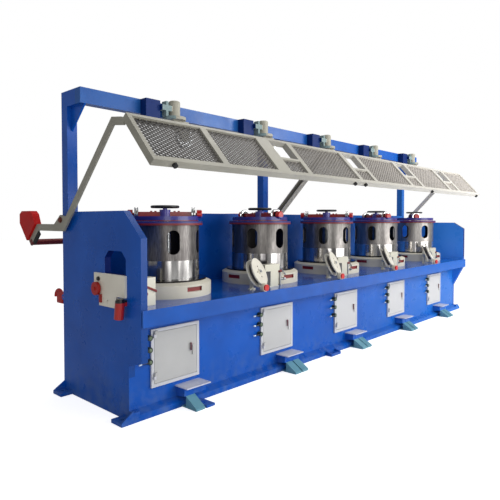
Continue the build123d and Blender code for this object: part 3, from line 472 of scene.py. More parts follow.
@dataclass(frozen=True)
class BandedPaint(DustyPaint):
    """Paint in several colours, parted by places measured in the piece's own directions."""

    centre: Point = (0.0, 0.0, 0.0)
    turns: Point = (0.0, 0.0, 0.0)
    pitch: float = 0.0
    axle: float = 0.0
    patches: tuple[Patch, ...] = ()
    metal_gloss: float = 0.4
    matt_specular: float = 0.02

    def places(self, graph: Graph) -> dict[Of, Socket]:
        """Measure every place that a patch can be limited by.

        Args:
            graph: The material's nodes.

        Returns:
            The value socket of each measure.
        """
        x, y, z = graph.parts(graph.mapped((1, 1, 1), self.centre, self.turns))
        if self.pitch:
            shifted = graph.math("ADD", x, self.pitch / 2)
            x = graph.math("SUBTRACT", graph.math("FLOORED_MODULO", shifted, self.pitch), self.pitch / 2)
        return {Of.X: x, Of.Y: y, Of.HEIGHT: z, Of.ALONG: graph.math("ABSOLUTE", x),
                Of.RADIUS: graph.length(x, y),
                Of.REACH: graph.length(y, graph.math("SUBTRACT", z, self.axle))}

    def make(self) -> bpy.types.Material:
        """Build the material with each patch laid over the paint.

        Returns:
            The finished material.
        """
        graph = Graph(self.name)
        places = self.places(graph)
        tone, rough = self.tone(graph), self.gloss(graph)
        metal = matt = None
        for patch in self.patches:
            share = None
            for measure, (low, high) in patch.limits.items():
                inside = graph.math("MULTIPLY", graph.math("GREATER_THAN", places[measure], low),
                                    graph.math("LESS_THAN", places[measure], high))
                share = inside if share is None else graph.math("MULTIPLY", share, inside)
            tone = graph.mix(share, tone, patch.colour)
            metal = graph.either(metal, share) if patch.metal else metal
            matt = graph.either(matt, share) if patch.matt else matt
        graph.link(tone, "Base Color")
        graph.plain(Coat_Weight=self.coat, Specular_IOR_Level=self.specular)
        if metal is not None:
            graph.link(metal, "Metallic")
            rough = graph.math("MULTIPLY", rough, graph.remap(metal, 0, 1, 1, self.metal_gloss))
        if matt is not None:
            graph.link(graph.remap(matt, 0, 1, self.specular, self.matt_specular), "Specular IOR Level")
        graph.link(rough, "Roughness")
        self.relief(graph)
        return graph.material


# Painted light: these blues pale towards the right end of the line.
BLUE = PaintedLightGradient("blue_paint", (14, 88, 186), (10, 77, 168), rough=0.30, specular=0.25,
                  peel_depth=0.00015, dust_top=0.30, pale=(34, 110, 200), start=-0.6)
TABLE_BLUE = PaintedLightGradient("table_blue_paint", (12, 84, 176), (8, 72, 156), rough=0.17, rough_spread=0.08,
                        mottle=5.0, peel_depth=0.00006, specular=0.32, pale=(20, 98, 192), start=-0.6)
BEAM_BLUE = PaintedLightGradient("beam_blue_paint", (20, 80, 156), (42, 104, 182), rough=0.34, specular=0.25,
                       pale=(22, 92, 186), start=-1.5, end=2.0)
CREAM = Finish("cream_paint", (216, 210, 192), (198, 192, 172), rough=0.42)
# Painted light: the guard and its mesh pale towards the right end. The mesh's dark colour is painted shade
# as well.
GUARD_CREAM = PaintedLightGradient("guard_cream_paint", (160, 157, 143), (142, 139, 126), rough=0.45)
MESH = PaintedLightGradient("guard_mesh_paint", (52, 48, 43), (36, 34, 30), rough=0.5, pale=(206, 199, 190))
# Painted light: the doors pale from the first towards the middle of the line.
DOOR_CREAM = PaintedLightGradient("door_cream_paint", (186, 186, 184), (174, 174, 172), rough=0.38,
                        pale=(197, 197, 197), start=-2.4, end=-0.4)
FRAME_WHITE = Finish("door_frame_paint", (203, 204, 208), (192, 193, 198), rough=0.36)
RED = Finish("red_paint", (178, 28, 22), (150, 20, 16), rough=0.3, coat=0.3)
WEIGHT_RED = Finish("weight_red_paint", (206, 16, 12), (172, 12, 10), rough=0.5, specular=0.2)
DARK_RED = Finish("dark_red_paint", (128, 24, 20), (96, 18, 16), rough=0.38)
TEAL = Finish("pedal_teal_paint", (112, 164, 178), (84, 138, 158), rough=0.45)
LILAC = Finish("hood_paint", (212, 214, 226), (194, 197, 212), rough=0.45)
RUST = Finish("bolt_rust", (124, 62, 44), (92, 42, 32), rough=0.6, metal=0.3, mottle=60.0)
HANDLE = Finish("handle_maroon", (132, 88, 96), (102, 62, 70), rough=0.4, metal=0.2)
BLACK = Finish("black_plastic", (22, 22, 24), (34, 34, 36), rough=0.4)
RUBBER = Finish("black_rubber", (24, 24, 24), (38, 37, 36), rough=0.75, peel=500.0)
STEEL = BrushedSteel("brushed_steel", (178, 180, 182), (140, 142, 144), rough=0.28, metal=0.95)
DARK_STEEL = BrushedSteel("dark_steel", (58, 58, 62), (34, 34, 38), rough=0.35, metal=0.8)
BRASS = BrushedSteel("valve_brass", (132, 146, 118), (92, 110, 84), rough=0.4, metal=0.5)
ZINC = BrushedSteel("zinc_bolts", (196, 198, 200), (150, 152, 156), rough=0.3, metal=0.9,
                    lines=(60.0, 60.0, 60.0))


class Bench:
    """Modelling steps, each done with the same operators as by hand.

    A bolt's washer reach and rounding are shares of its radius, and the rest shares of its height.
    """

    WASHER_REACH = 1.15
    WASHER_SHARE = 0.25
    HEAD_SHARE = 0.75
    HEAD_MIDDLE = 0.6
    HEAD_ROUND = 0.12

    @staticmethod
    def clear() -> None:
        """Leave edit mode and deselect everything."""
        if bpy.context.object and bpy.context.object.mode != "OBJECT":
            bpy.ops.object.mode_set(mode="OBJECT")
        bpy.ops.object.select_all(action="DESELECT")

    @staticmethod
    def only(piece: Piece) -> None:
        """Select one piece and make it active.

        Args:
            piece: The piece to work on.
        """
        Bench.clear()
        piece.select_set(True)
        bpy.context.view_layer.objects.active = piece

    @staticmethod
    def settle() -> Piece:
        """Move the active piece's place into its mesh and give the piece."""
        bpy.ops.object.transform_apply(location=True, rotation=True, scale=True)
        return bpy.context.object

    @staticmethod
    def box(size: Point, at: Point) -> Piece:
        """Add a box.

        Args:
            size: Its sizes along X, Y and Z.
            at: Its middle.

        Returns:
            The new piece.
        """
        Bench.clear()
        bpy.ops.mesh.primitive_cube_add(size=1.0, location=at)
        bpy.context.object.scale = size
        return Bench.settle()

    @staticmethod
    def round_bar(radius: float, length: float, at: Point, axis: Axis = Axis.Z, sides: int = 32) -> Piece:
        """Add a round or many-sided bar.

        Args:
            radius: The bar's radius.
            length: Its length.
            at: Its middle.
            axis: The way that it lies.
            sides: How many sides it has.

        Returns:
            The new piece.
        """
        Bench.clear()
        turn = axis.vector().to_track_quat("Z", "Y").to_euler()
        bpy.ops.mesh.primitive_cylinder_add(vertices=sides, radius=radius, depth=length,
                                            location=at, rotation=turn)
        return Bench.settle()

    @staticmethod
    def spin(steps: int, angle: float, centre: Point, axis: Axis) -> Piece:
        """Sweep the active outline about an axis into a closed form.

        Args:
            steps: How many steps the sweep has.
            angle: The whole turn, in radians.
            centre: A point on the axis.
            axis: The axis's direction.

        Returns:
            The swept piece, with its faces turned outwards.
        """
        bpy.ops.object.mode_set(mode="EDIT")
        bpy.ops.mesh.select_all(action="SELECT")
        bpy.ops.mesh.spin(steps=steps, angle=angle, center=centre, axis=axis.value)
        bpy.ops.mesh.select_all(action="SELECT")
        bpy.ops.mesh.remove_doubles(threshold=WELD)
        bpy.ops.mesh.normals_make_consistent(inside=False)
        bpy.ops.object.mode_set(mode="OBJECT")
        return bpy.context.object

    @staticmethod
    def bolt(radius: float, height: float, at: Point, axis: Axis = Axis.Z) -> Piece:
        """Make a hexagon bolt head on its washer.

        Args:
            radius: The head's corner radius.
            height: The head's height above the face.
            at: The point on the face.
            axis: The way that the bolt points, with the head at its high end.

        Returns:
            The bolt head.
        """
        face, out = Vector(at), axis.vector() * height
        washer = Bench.round_bar(radius * Bench.WASHER_REACH, height * Bench.WASHER_SHARE,
                                 tuple(face + out * Bench.WASHER_SHARE / 2), axis, sides=24)
        head = Bench.round_bar(radius, height * Bench.HEAD_SHARE,
                               tuple(face + out * Bench.HEAD_MIDDLE), axis, sides=6)
        return Bench.joined([washer, Bench.bevel(head, radius * Bench.HEAD_ROUND)])

    @staticmethod
    def finish_with(piece: Piece, kind: str, **values: object) -> Piece:
        """Add a modifier and apply it at once.

        Args:
            piece: The piece to finish.
            kind: The modifier's kind.
            **values: The modifier's settings.

        Returns:
            The same piece.
        """
        Bench.only(piece)
        modifier = piece.modifiers.new(kind.lower(), kind)
        for name, value in values.items():
            setattr(modifier, name, value)
        bpy.ops.object.modifier_apply(modifier=modifier.name)
        return piece

    @staticmethod
    def bevel(piece: Piece, width: float, segments: int = 2) -> Piece:
        """Round the sharp edges of a piece."""
        return Bench.finish_with(piece, "BEVEL", width=width, segments=segments, limit_method="ANGLE")

    @staticmethod
    def smooth(piece: Piece, angle: float = 35.0) -> Piece:
        """Shade a piece smooth.

        Args:
            piece: The piece to shade.
            angle: The turn between faces, in degrees, up to which they blend.

        Returns:
            The same piece.
        """
        Bench.only(piece)
        bpy.ops.object.shade_smooth_by_angle(angle=math.radians(angle))
        return piece

    @staticmethod
    def copies(pattern: Piece, places: list[Matrix]) -> list[Piece]:
        """Copy a piece to each place, each copy with a mesh of its own.

        Args:
            pattern: The piece to copy, which is removed afterwards.
            places: Where each copy goes.

        Returns:
            The copies.
        """
        made = []
        for place in places:
            copy = pattern.copy()
            copy.data = pattern.data.copy()
            copy.data.transform(place)
            bpy.context.scene.collection.objects.link(copy)
            made.append(copy)
        bpy.data.objects.remove(pattern)
        return made

    @staticmethod
    def row(pattern: Piece, count: int) -> Piece:
        """Repeat a piece from block to block and join the copies in one object."""
        places = [Matrix.Translation((BLOCK_PITCH * step, 0, 0)) for step in range(count)]
        return Bench.joined(Bench.copies(pattern, places))

    @staticmethod
    def joined(pieces: list[Piece]) -> Piece:
        """Join pieces in one object.

        Args:
            pieces: Two or more pieces.

        Returns:
            The one object.
        """
        Bench.only(pieces[0])
        for piece in pieces:
            piece.select_set(True)
        bpy.ops.object.join()
        return bpy.context.object


@dataclass
class Assembly:
    """What every sub-assembly shares: its finishes and the pieces it has made."""

    made: list[str] = field(default_factory=list)

    @staticmethod
    def paint(piece: Piece, finish: Finish) -> None:
        """Give a piece one finish, made once for all that share it."""
        piece.data.materials.clear()
        piece.data.materials.append(bpy.data.materials.get(finish.name) or finish.make())

    @staticmethod
    def corners(node: str) -> tuple[Vector, Vector]:
        """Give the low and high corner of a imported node."""
        points = [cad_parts[node].matrix_world @ Vector(at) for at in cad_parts[node].bound_box]
        return Vector([min(part) for part in zip(*points)]), Vector([max(part) for part in zip(*points)])

    def dress(self, node: str, finish: Finish) -> None:
        """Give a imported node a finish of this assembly."""
        self.paint(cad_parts[node], finish)
        self.made.append(node)

    def add(self, piece: Piece, name: str, finish: Finish, body: str, slot: str = "") -> Piece:
        """Name, paint and mount a new piece.

        Args:
            piece: The finished mesh object.
            name: Its plain name.
            finish: Its paint.
            body: The moving body that it rides on.
            slot: Not used.

        Returns:
            The same piece.
        """
        piece.name = piece.data.name = name
        self.paint(piece, finish)
        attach(piece, body)
        self.made.append(name)
        return piece

    def report(self) -> None:
        """Say which pieces are done."""
        for name in self.made:
            LOG.info("%s: %s", type(self).__name__, name)


@dataclass
class Cabinet(Assembly):
    """The floor frame, front, table, walls and end plates, with the rear lever."""

    painted: tuple[str, ...] = ("base_frame", "front_panel", "back_wall", "pedal_boxes", "lever_bracket")
    skin: float = 0.0005
    entry_across: Span = (-0.44, -0.08)
    entry_up: Span = (0.90, 1.25)
    left_edge_shade_up: Span = (0.30, FAR)
    right_edge_shade_up: Span = (0.82, FAR)
    hook_centre: Point = (-2.922, 0.640, 0.752)
    hook_reach: float = 0.050
    hook_tube: float = 0.016
    hook_start: float = math.radians(150.0)
    hook_turn: float = math.radians(160.0)
    hook_round: float = 0.004
    grip_size: Point = (0.030, 0.104, 0.092)
    grip_place: Point = (0.0, -0.032, -0.010)
    grip_round: float = 0.009

    def end_paint(self, node: str, name: str, patches: tuple[Patch, ...]) -> None:
        """Paint an end plate blue, with painted shade on reveals and edges and painted light on a face."""
        self.dress(node, BandedPaint(
            name, BLUE.colour, BLUE.shade, rough=BLUE.rough, specular=BLUE.specular,
            peel_depth=BLUE.peel_depth, dust_top=BLUE.dust_top, patches=patches))

    def edges(self, low: Vector, high: Vector, colour: Colour, up: Span) -> Patch:
        """Paint shade on the thin edges of an end plate, between its two faces."""
        return Patch(colour, {Of.X: (low.x + self.skin, high.x - self.skin), Of.HEIGHT: up})

    def build(self) -> None:
        """Dress the blue steelwork and hang the lever's grip."""
        for node in self.painted:
            self.dress(node, BLUE)
        low, high = self.corners("left_end_plate")
        # Painted shade in the entry opening and on the plate's edges.
        reveal_shade = Patch((10, 26, 84), {Of.X: (low.x + self.skin, high.x), Of.Y: self.entry_across,
                                      Of.HEIGHT: self.entry_up}, matt=True)
        edges = self.edges(low, high, (10, 66, 142), self.left_edge_shade_up)
        self.end_paint("left_end_plate", "left_end_blue", (edges, reveal_shade))
        low, high = self.corners("right_end_plate")
        # Painted light on the right plate's inner face; painted shade on its edges.
        face = Patch((58, 138, 236), {Of.X: (-FAR, low.x + self.skin)})
        edges = self.edges(low, high, (8, 42, 118), self.right_edge_shade_up)
        self.end_paint("right_end_plate", "right_end_blue", (face, edges))
        self.dress("table_top", TABLE_BLUE)
        self.dress("rear_lever", RED)
        self.lever_grip()

    def lever_grip(self) -> None:
        """Hang the thick grip on the rear lever, with the hook that curls over its end."""
        x, y, z = self.hook_centre
        block = Bench.box(self.grip_size, tuple(Vector(self.hook_centre) + Vector(self.grip_place)))
        body = Bench.bevel(block, self.grip_round, segments=3)
        Bench.clear()
        bpy.ops.mesh.primitive_circle_add(vertices=18, radius=self.hook_tube, fill_type="NGON",
                                          location=(x, y + self.hook_reach * math.cos(self.hook_start),
                                                    z + self.hook_reach * math.sin(self.hook_start)),
                                          rotation=(self.hook_start - math.pi, 0, 0))
        Bench.settle()
        hook = Bench.spin(steps=16, angle=self.hook_turn, centre=self.hook_centre, axis=Axis.X)
        whole = Bench.smooth(Bench.joined([body, Bench.bevel(hook, self.hook_round)]), angle=50.0)
        self.add(whole, "rear_lever_grip", RED, "rear_lever", "red_paint")


@dataclass
class Portal(Assembly):
    """The rear posts, arms, beam, sheave brackets and sheaves."""

    box_reach: float = 0.0735
    lug_reach: float = 0.1735

    def build(self) -> None:
        """Dress the portal and its sheaves."""
        for node in ("rear_posts", "portal_arms"):
            self.dress(node, BLUE)
        self.dress("overhead_beam", BEAM_BLUE)
        box = Patch((8, 42, 106), {Of.ALONG: (0.0, self.box_reach)})
        lugs = Patch((136, 156, 156), {Of.X: (self.box_reach, self.lug_reach)})
        self.dress("sheave_brackets", BandedPaint(
            "bracket_cream", (184, 181, 166), (168, 164, 150), rough=0.5, specular=0.15,
            centre=(FIRST_BLOCK, 0.0, 0.0), pitch=BLOCK_PITCH, patches=(box, lugs)))
        for number in range(1, BLOCKS + 1):
            self.dress(f"sheave_{number}", STEEL)


@dataclass
class Doors(Assembly):
    """The cabinet doors, their frames, valves, hoods and pedals."""

    face_behind: float = 0.012
    handle_inset: float = 0.062
    handle_rise: float = 0.018
    plate_size: Point = (0.012, 0.004, 0.061)
    plate_round: float = 0.003
    grip_size: Point = (0.007, 0.007, 0.047)
    grip_drop: float = 0.004
    grip_round: float = 0.004
    pin: Bar = (0.006, 0.012)
    pin_rise: float = 0.024
    valve_tip: Span = (-0.004, 0.024)
    valve_lever: Span = (0.020, 0.078)
    valve_centre: float = 0.095
    valve_inset: float = 0.020
    valve_front: float = 0.003
    valve_face: Bar = (0.0105, 0.004)
    valve_pin: Bar = (0.004, 0.010)
    valve_round: float = 0.001

    def handle(self, number: int) -> None:
        """Make the swing handle of a door and hang it on the door.

        Args:
            number: The door's number, from 1.
        """
        low, high = self.corners(f"door_{number}")
        x, y = high.x - self.handle_inset, low.y + self.face_behind
        z = (low.z + high.z) / 2 + self.handle_rise
        plate = Bench.box(self.plate_size, (x, y - self.plate_size[1] / 2, z))
        grip = Bench.box(self.grip_size, (x, y - self.grip_size[1], z - self.grip_drop))
        pin = Bench.round_bar(*self.pin, (x, y - self.plate_size[1], z + self.pin_rise), Axis.Y)
        pieces = [Bench.bevel(plate, self.plate_round), Bench.bevel(grip, self.grip_round, segments=3), pin]
        self.add(Bench.smooth(Bench.joined(pieces)), f"door_{number}_handle", HANDLE, f"door_{number}")

    def valve_paint(self, low: Vector) -> BandedPaint:
        """Give the valves' paint: dark green bodies and pale lever tips.

        Args:
            low: The low corner of all the valves.

        Returns:
            The banded finish.
        """
        tips = Patch((206, 220, 236), {Of.X: self.valve_tip})
        levers = Patch((28, 34, 40), {Of.X: self.valve_lever})
        return BandedPaint("valve_green_black", (40, 62, 46), (22, 34, 28), rough=0.35,
                           centre=(low.x, 0, 0), pitch=BLOCK_PITCH, patches=(levers, tips))

    def valve_faces(self, low: Vector, high: Vector) -> None:
        """Set a pale turned face with its pin in each valve.

        Args:
            low: The low corner of all the valves.
            high: Their high corner.
        """
        rows = []
        for height in (low.z + self.valve_inset, (low.z + high.z) / 2, high.z - self.valve_inset):
            at = (low.x + self.valve_centre, low.y + self.valve_front, height)
            face = Bench.round_bar(*self.valve_face, at, Axis.Y, sides=24)
            pin = Bench.round_bar(*self.valve_pin, at, Axis.Y, sides=12)
            both = Bench.joined([Bench.bevel(piece, self.valve_round) for piece in (face, pin)])
            rows.append(Bench.row(both, BLOCKS))
        self.add(Bench.smooth(Bench.joined(rows)), "valve_faces", BRASS, "machine")

    def build(self) -> None:
        """Dress the doors and what is round them, and add handles and valve faces."""
        self.dress("door_frames", FRAME_WHITE)
        for number in range(1, BLOCKS + 1):
            self.dress(f"door_{number}", DOOR_CREAM)
            self.handle(number)
        low, high = self.corners("coolant_valves")
        self.dress("coolant_valves", self.valve_paint(low))
        self.valve_faces(low, high)
        self.dress("pedal_hoods", LILAC)
        self.dress("foot_pedals", TEAL)
        self.dress("flat_pedal", BLUE)


@dataclass
class DrawingBlocks(Assembly):
    """The ring housings, drums, spindles and flyers.

    Each pair in drum_ends is a colour on the first drum and on the last, which is paler as painted light:
    the wall, its streaks, the polished band and the painted shade in it.
    """

    drum_bottom: float = 0.9053
    flyer_bottom: float = 1.3793
    flyer_turns: tuple[float, ...] = (322.0, 263.5, 300.0, 241.0, 212.0)
    flange_top: float = 0.007
    flange_inside: float = 0.1
    ring_height: float = 0.0385
    hub_radius: float = 0.0455
    axle: float = 0.057
    pulley: Span = (0.2170, 0.2475)
    web_radius: float = 0.0425
    cap_start: float = 0.2608
    wheel_bottom: float = 0.1045
    wheel_radius: float = 0.107
    wheel_tube: float = 0.011
    spokes: int = 4
    collar: Bar = (0.0105, 0.018)
    collar_inset: float = 0.012
    collar_round: float = 0.003
    boss: Bar = (0.024, 0.018)
    boss_drop: float = 0.002
    boss_round: float = 0.004
    nut: Bar = (0.013, 0.010)
    nut_rise: float = 0.001
    slot_up: Span = (0.8335, 0.8685)
    slot_out: Span = (0.3, 0.3735)
    drum_ends: tuple[tuple[Colour, Colour], ...] = (
        ((144, 140, 137), (206, 200, 194)), ((76, 72, 70), (126, 123, 119)),
        ((206, 204, 200), (242, 238, 232)), ((84, 82, 82), (176, 172, 168)))

    def middle(self, number: int, height: float) -> Point:
        """Give a point on a block's axis."""
        return (FIRST_BLOCK + (number - 1) * BLOCK_PITCH, BLOCK_Y, height)

    def drum_steel(self, number: int) -> TurnedSteel:
        """Give the steel of one drum, paler from the first drum to the last as painted light.

        Args:
            number: The block's number, from 1.

        Returns:
            The turned finish.
        """
        # Painted light: the drums towards the right end are paler.
        share = (number - 1) / (BLOCKS - 1)
        wall, streak, bright, shadow = (
            tuple(round(first + (last - first) * share) for first, last in zip(*ends))
            for ends in self.drum_ends)
        return TurnedSteel(f"drum_{number}_steel", wall, streak, rough=0.36, metal=0.95, bright=bright,
                           band_shade=shadow, centre=self.middle(number, self.drum_bottom))

    def flyer_paint(self, number: int) -> BandedPaint:
        """Give the paint of one flyer: blue ring, red bar and caps, bright pulleys, dark hand wheel.

        Args:
            number: The block's number, from 1.

        Returns:
            The banded finish.
        """
        raised = {Of.HEIGHT: (self.ring_height, FAR)}
        on_pulley = {Of.ALONG: self.pulley, **raised}
        edge = Patch((130, 26, 32), {Of.HEIGHT: (-FAR, self.flange_top),
                                     Of.RADIUS: (self.flange_inside, FAR)})
        bar = Patch((164, 26, 26), raised)
        hub = Patch((84, 78, 172), {Of.RADIUS: (0.0, self.hub_radius), **raised})
        rims = Patch((226, 226, 224), {Of.REACH: (self.web_radius, FAR), **on_pulley}, metal=True)
        web = Patch((34, 30, 34), {Of.REACH: (0.0, self.web_radius), **on_pulley})
        caps = Patch((186, 20, 18), {Of.ALONG: (self.cap_start, FAR), **raised})
        wheel = Patch((26, 24, 28), {Of.HEIGHT: (self.wheel_bottom, FAR)})
        return BandedPaint(f"flyer_{number}_paint", (52, 50, 142), (40, 38, 120), rough=0.3, coat=0.3,
                           centre=self.middle(number, self.flyer_bottom), axle=self.axle,
                           turns=(0.0, 0.0, self.flyer_turns[number - 1]),
                           patches=(edge, bar, hub, rims, web, caps, wheel))

    def hand_wheel_rim(self, number: int, height: float) -> None:
        """Bend the tube of a flyer's hand wheel round its spokes, with a collar on each.

        Args:
            number: The block's number, from 1.
            height: The height of the wheel's middle.
        """
        Bench.clear()
        bpy.ops.mesh.primitive_circle_add(vertices=14, radius=self.wheel_tube, rotation=(math.pi / 2, 0, 0),
                                          location=(self.wheel_radius, 0, 0))
        Bench.settle()
        ring = Bench.spin(steps=56, angle=math.tau, centre=(0, 0, 0), axis=Axis.Z)
        at = (self.wheel_radius - self.collar_inset, 0, 0)
        collar = Bench.bevel(Bench.round_bar(*self.collar, at, Axis.X, sides=20), self.collar_round)
        turns = [Matrix.Rotation(math.tau * step / self.spokes, 4, "Z") for step in range(self.spokes)]
        whole = Bench.smooth(Bench.joined([ring, *Bench.copies(collar, turns)]), angle=50.0)
        turn = Matrix.Rotation(math.radians(self.flyer_turns[number - 1]), 4, "Z")
        whole.data.transform(Matrix.Translation(self.middle(number, height)) @ turn)
        self.add(whole, f"flyer_{number}_hand_wheel_rim", BLACK, f"flyer_{number}")

    def hand_wheel_nut(self, number: int, height: float) -> None:
        """Put the hub nut and boss on a flyer's hand wheel.

        Args:
            number: The block's number, from 1.
            height: The height of the wheel's middle.
        """
        boss = Bench.round_bar(*self.boss, self.middle(number, height - self.boss_drop))
        nut = Bench.bolt(*self.nut, self.middle(number, height + self.nut_rise))
        whole = Bench.smooth(Bench.joined([Bench.bevel(boss, self.boss_round), nut]))
        self.add(whole, f"flyer_{number}_wheel_boss", DARK_STEEL, f"flyer_{number}")

    def build(self) -> None:
        """Dress each block and finish its hand wheel."""
        slots = Patch((128, 26, 24), {Of.HEIGHT: self.slot_up, Of.RADIUS: self.slot_out})
        self.dress("block_housings", BandedPaint(
            "housing_cream", CREAM.colour, CREAM.shade, rough=0.4, centre=self.middle(1, 0.0),
            pitch=BLOCK_PITCH, patches=(slots,)))
        self.dress("drum_spindles", STEEL)
        for number in range(1, BLOCKS + 1):
            self.dress(f"drum_{number}", self.drum_steel(number))
            self.dress(f"flyer_{number}", self.flyer_paint(number))
            height = self.corners(f"flyer_{number}")[1].z - self.wheel_tube
            self.hand_wheel_rim(number, height)
            self.hand_wheel_nut(number, height)


@dataclass
class TableFittings(Assembly):
    """Guide discs, die boxes, buttons and the wire entry."""

    disc_offset: float = -0.531
    disc_y: float = FRONT - 0.020
    disc_height: float = 0.945
    disc_turns: Point = (65.0, 0.0, 19.0)
    disc_groove: Span = (-0.0485, -0.0115)
    disc_hole_shade: Span = (-0.0112, -0.0006)
    disc_hole_reach: float = 0.12
    hub_height: float = 0.006
    shaft_nut: Bar = (0.013, 0.011)
    button_front: float = -0.6152
    lid_middle: float = 0.0375
    lid_screws: Pair = (0.022, 0.178)
    lid_screw: Bar = (0.009, 0.007)
    wire_hole: Pair = (0.012, 0.0035)
    wire_hole_place: Pair = (0.004, 0.030)
    entry_bar: float = -0.0183
    entry_cap: float = 0.8235
    plate_bolt: Bar = (0.014, 0.014)
    plate_bolt_place: Point = (LEFT - 0.018, FRONT + 0.406, 0.042)
    wheel_nut: Bar = (0.011, 0.008)

    def disc_centre(self, number: int) -> Point:
        """Give the middle of a guide disc's face."""
        return (FIRST_BLOCK + (number - 1) * BLOCK_PITCH + self.disc_offset, self.disc_y, self.disc_height)

    def disc_paint(self, number: int) -> BandedPaint:
        """Give the paint of one guide disc: pale flanges, and painted shade in the dark groove and bolt
        holes.

        Args:
            number: The block's number, from 2.

        Returns:
            The banded finish.
        """
        # Painted shade in the groove, whose dark colour is also bare steel, and in the bolt holes.
        groove = Patch((58, 54, 58), {Of.HEIGHT: self.disc_groove})
        holes = Patch((40, 36, 36), {Of.HEIGHT: self.disc_hole_shade, Of.RADIUS: (0.0, self.disc_hole_reach)})
        return BandedPaint(f"disc_{number}_cream", (226, 222, 208), (208, 202, 186), rough=0.36,
                           centre=self.disc_centre(number), turns=self.disc_turns, patches=(groove, holes))

    def disc_nut(self, number: int) -> None:
        """Put the shaft nut on the hub of a guide disc.

        Args:
            number: The block's number, from 2.
        """
        nut = Bench.bolt(*self.shaft_nut, (0, 0, self.hub_height))
        tip, _, turn = (math.radians(angle) for angle in self.disc_turns)
        nut.data.transform(Matrix.Translation(self.disc_centre(number))
                           @ Matrix.Rotation(turn, 4, "Z") @ Matrix.Rotation(tip, 4, "X"))
        self.add(nut, f"guide_disc_{number}_nut", ZINC, f"guide_disc_{number}")

    def die_screws(self) -> None:
        """Screw down each die box lid and ring its wire hole."""
        low, high = self.corners("die_boxes")
        y = low.y + self.lid_middle
        pieces = [Bench.bolt(*self.lid_screw, (low.x + along, y, high.z - self.lid_screw[1]))
                  for along in self.lid_screws]
        Bench.clear()
        across, down = self.wire_hole_place
        radius, tube = self.wire_hole
        bpy.ops.mesh.primitive_torus_add(location=(low.x + across, y, high.z - down),
                                         rotation=(0, math.pi / 2, 0), major_segments=24,
                                         minor_segments=8, major_radius=radius, minor_radius=tube)
        pieces.append(Bench.smooth(Bench.settle()))
        self.add(Bench.row(Bench.joined(pieces), BLOCKS - 1), "die_box_screws", ZINC, "machine")

    def entry(self) -> None:
        """Dress the wire entry and add its bolt and the wheel's nut."""
        bar = Patch((150, 22, 20), {Of.X: (-FAR, self.entry_bar)})
        self.dress("entry_die_box", BandedPaint("entry_cream", (240, 234, 218), (224, 217, 200), rough=0.4,
                                                centre=(LEFT, 0, 0), patches=(bar,)))
        cap = Patch((26, 22, 24), {Of.HEIGHT: (self.entry_cap, FAR)})
        self.dress("entry_knob", BandedPaint("knob_red", RED.colour, RED.shade, rough=0.3,
                                             coat=0.3, patches=(cap,)))
        self.dress("entry_wheel", RED)
        x, y, down = self.plate_bolt_place
        at = (x, y, self.corners("entry_die_box")[1].z - down)
        self.add(Bench.bolt(*self.plate_bolt, at, Axis.BACK_X), "entry_plate_bolt", BLACK, "machine")
        low, high = self.corners("entry_wheel")
        at = (low.x, (low.y + high.y) / 2, (low.z + high.z) / 2)
        self.add(Bench.bolt(*self.wheel_nut, at, Axis.BACK_X), "entry_wheel_nut", RED, "entry_wheel")

    def build(self) -> None:
        """Dress the fittings on the table and at the entry."""
        for number in range(2, BLOCKS + 1):
            self.dress(f"guide_disc_{number}", self.disc_paint(number))
            self.disc_nut(number)
        for node in ("disc_brackets", "die_boxes", "first_die_box"):
            self.dress(node, CREAM)
        self.dress("die_clamps", DARK_RED)
        self.dress("coolant_taps", STEEL)
        heads = Patch((196, 26, 22), {Of.Y: (-FAR, self.button_front)})
        self.dress("table_buttons", BandedPaint("button_cream", CREAM.colour, CREAM.shade, rough=0.35,
                                                patches=(heads,)))
        self.die_screws()
        self.entry()


@dataclass(frozen=True)
class Bay:
    """A rectangle in the guard's own plane: its ends along X, and its ends down the slope."""

    left: float
    right: float
    start: float
    end: float


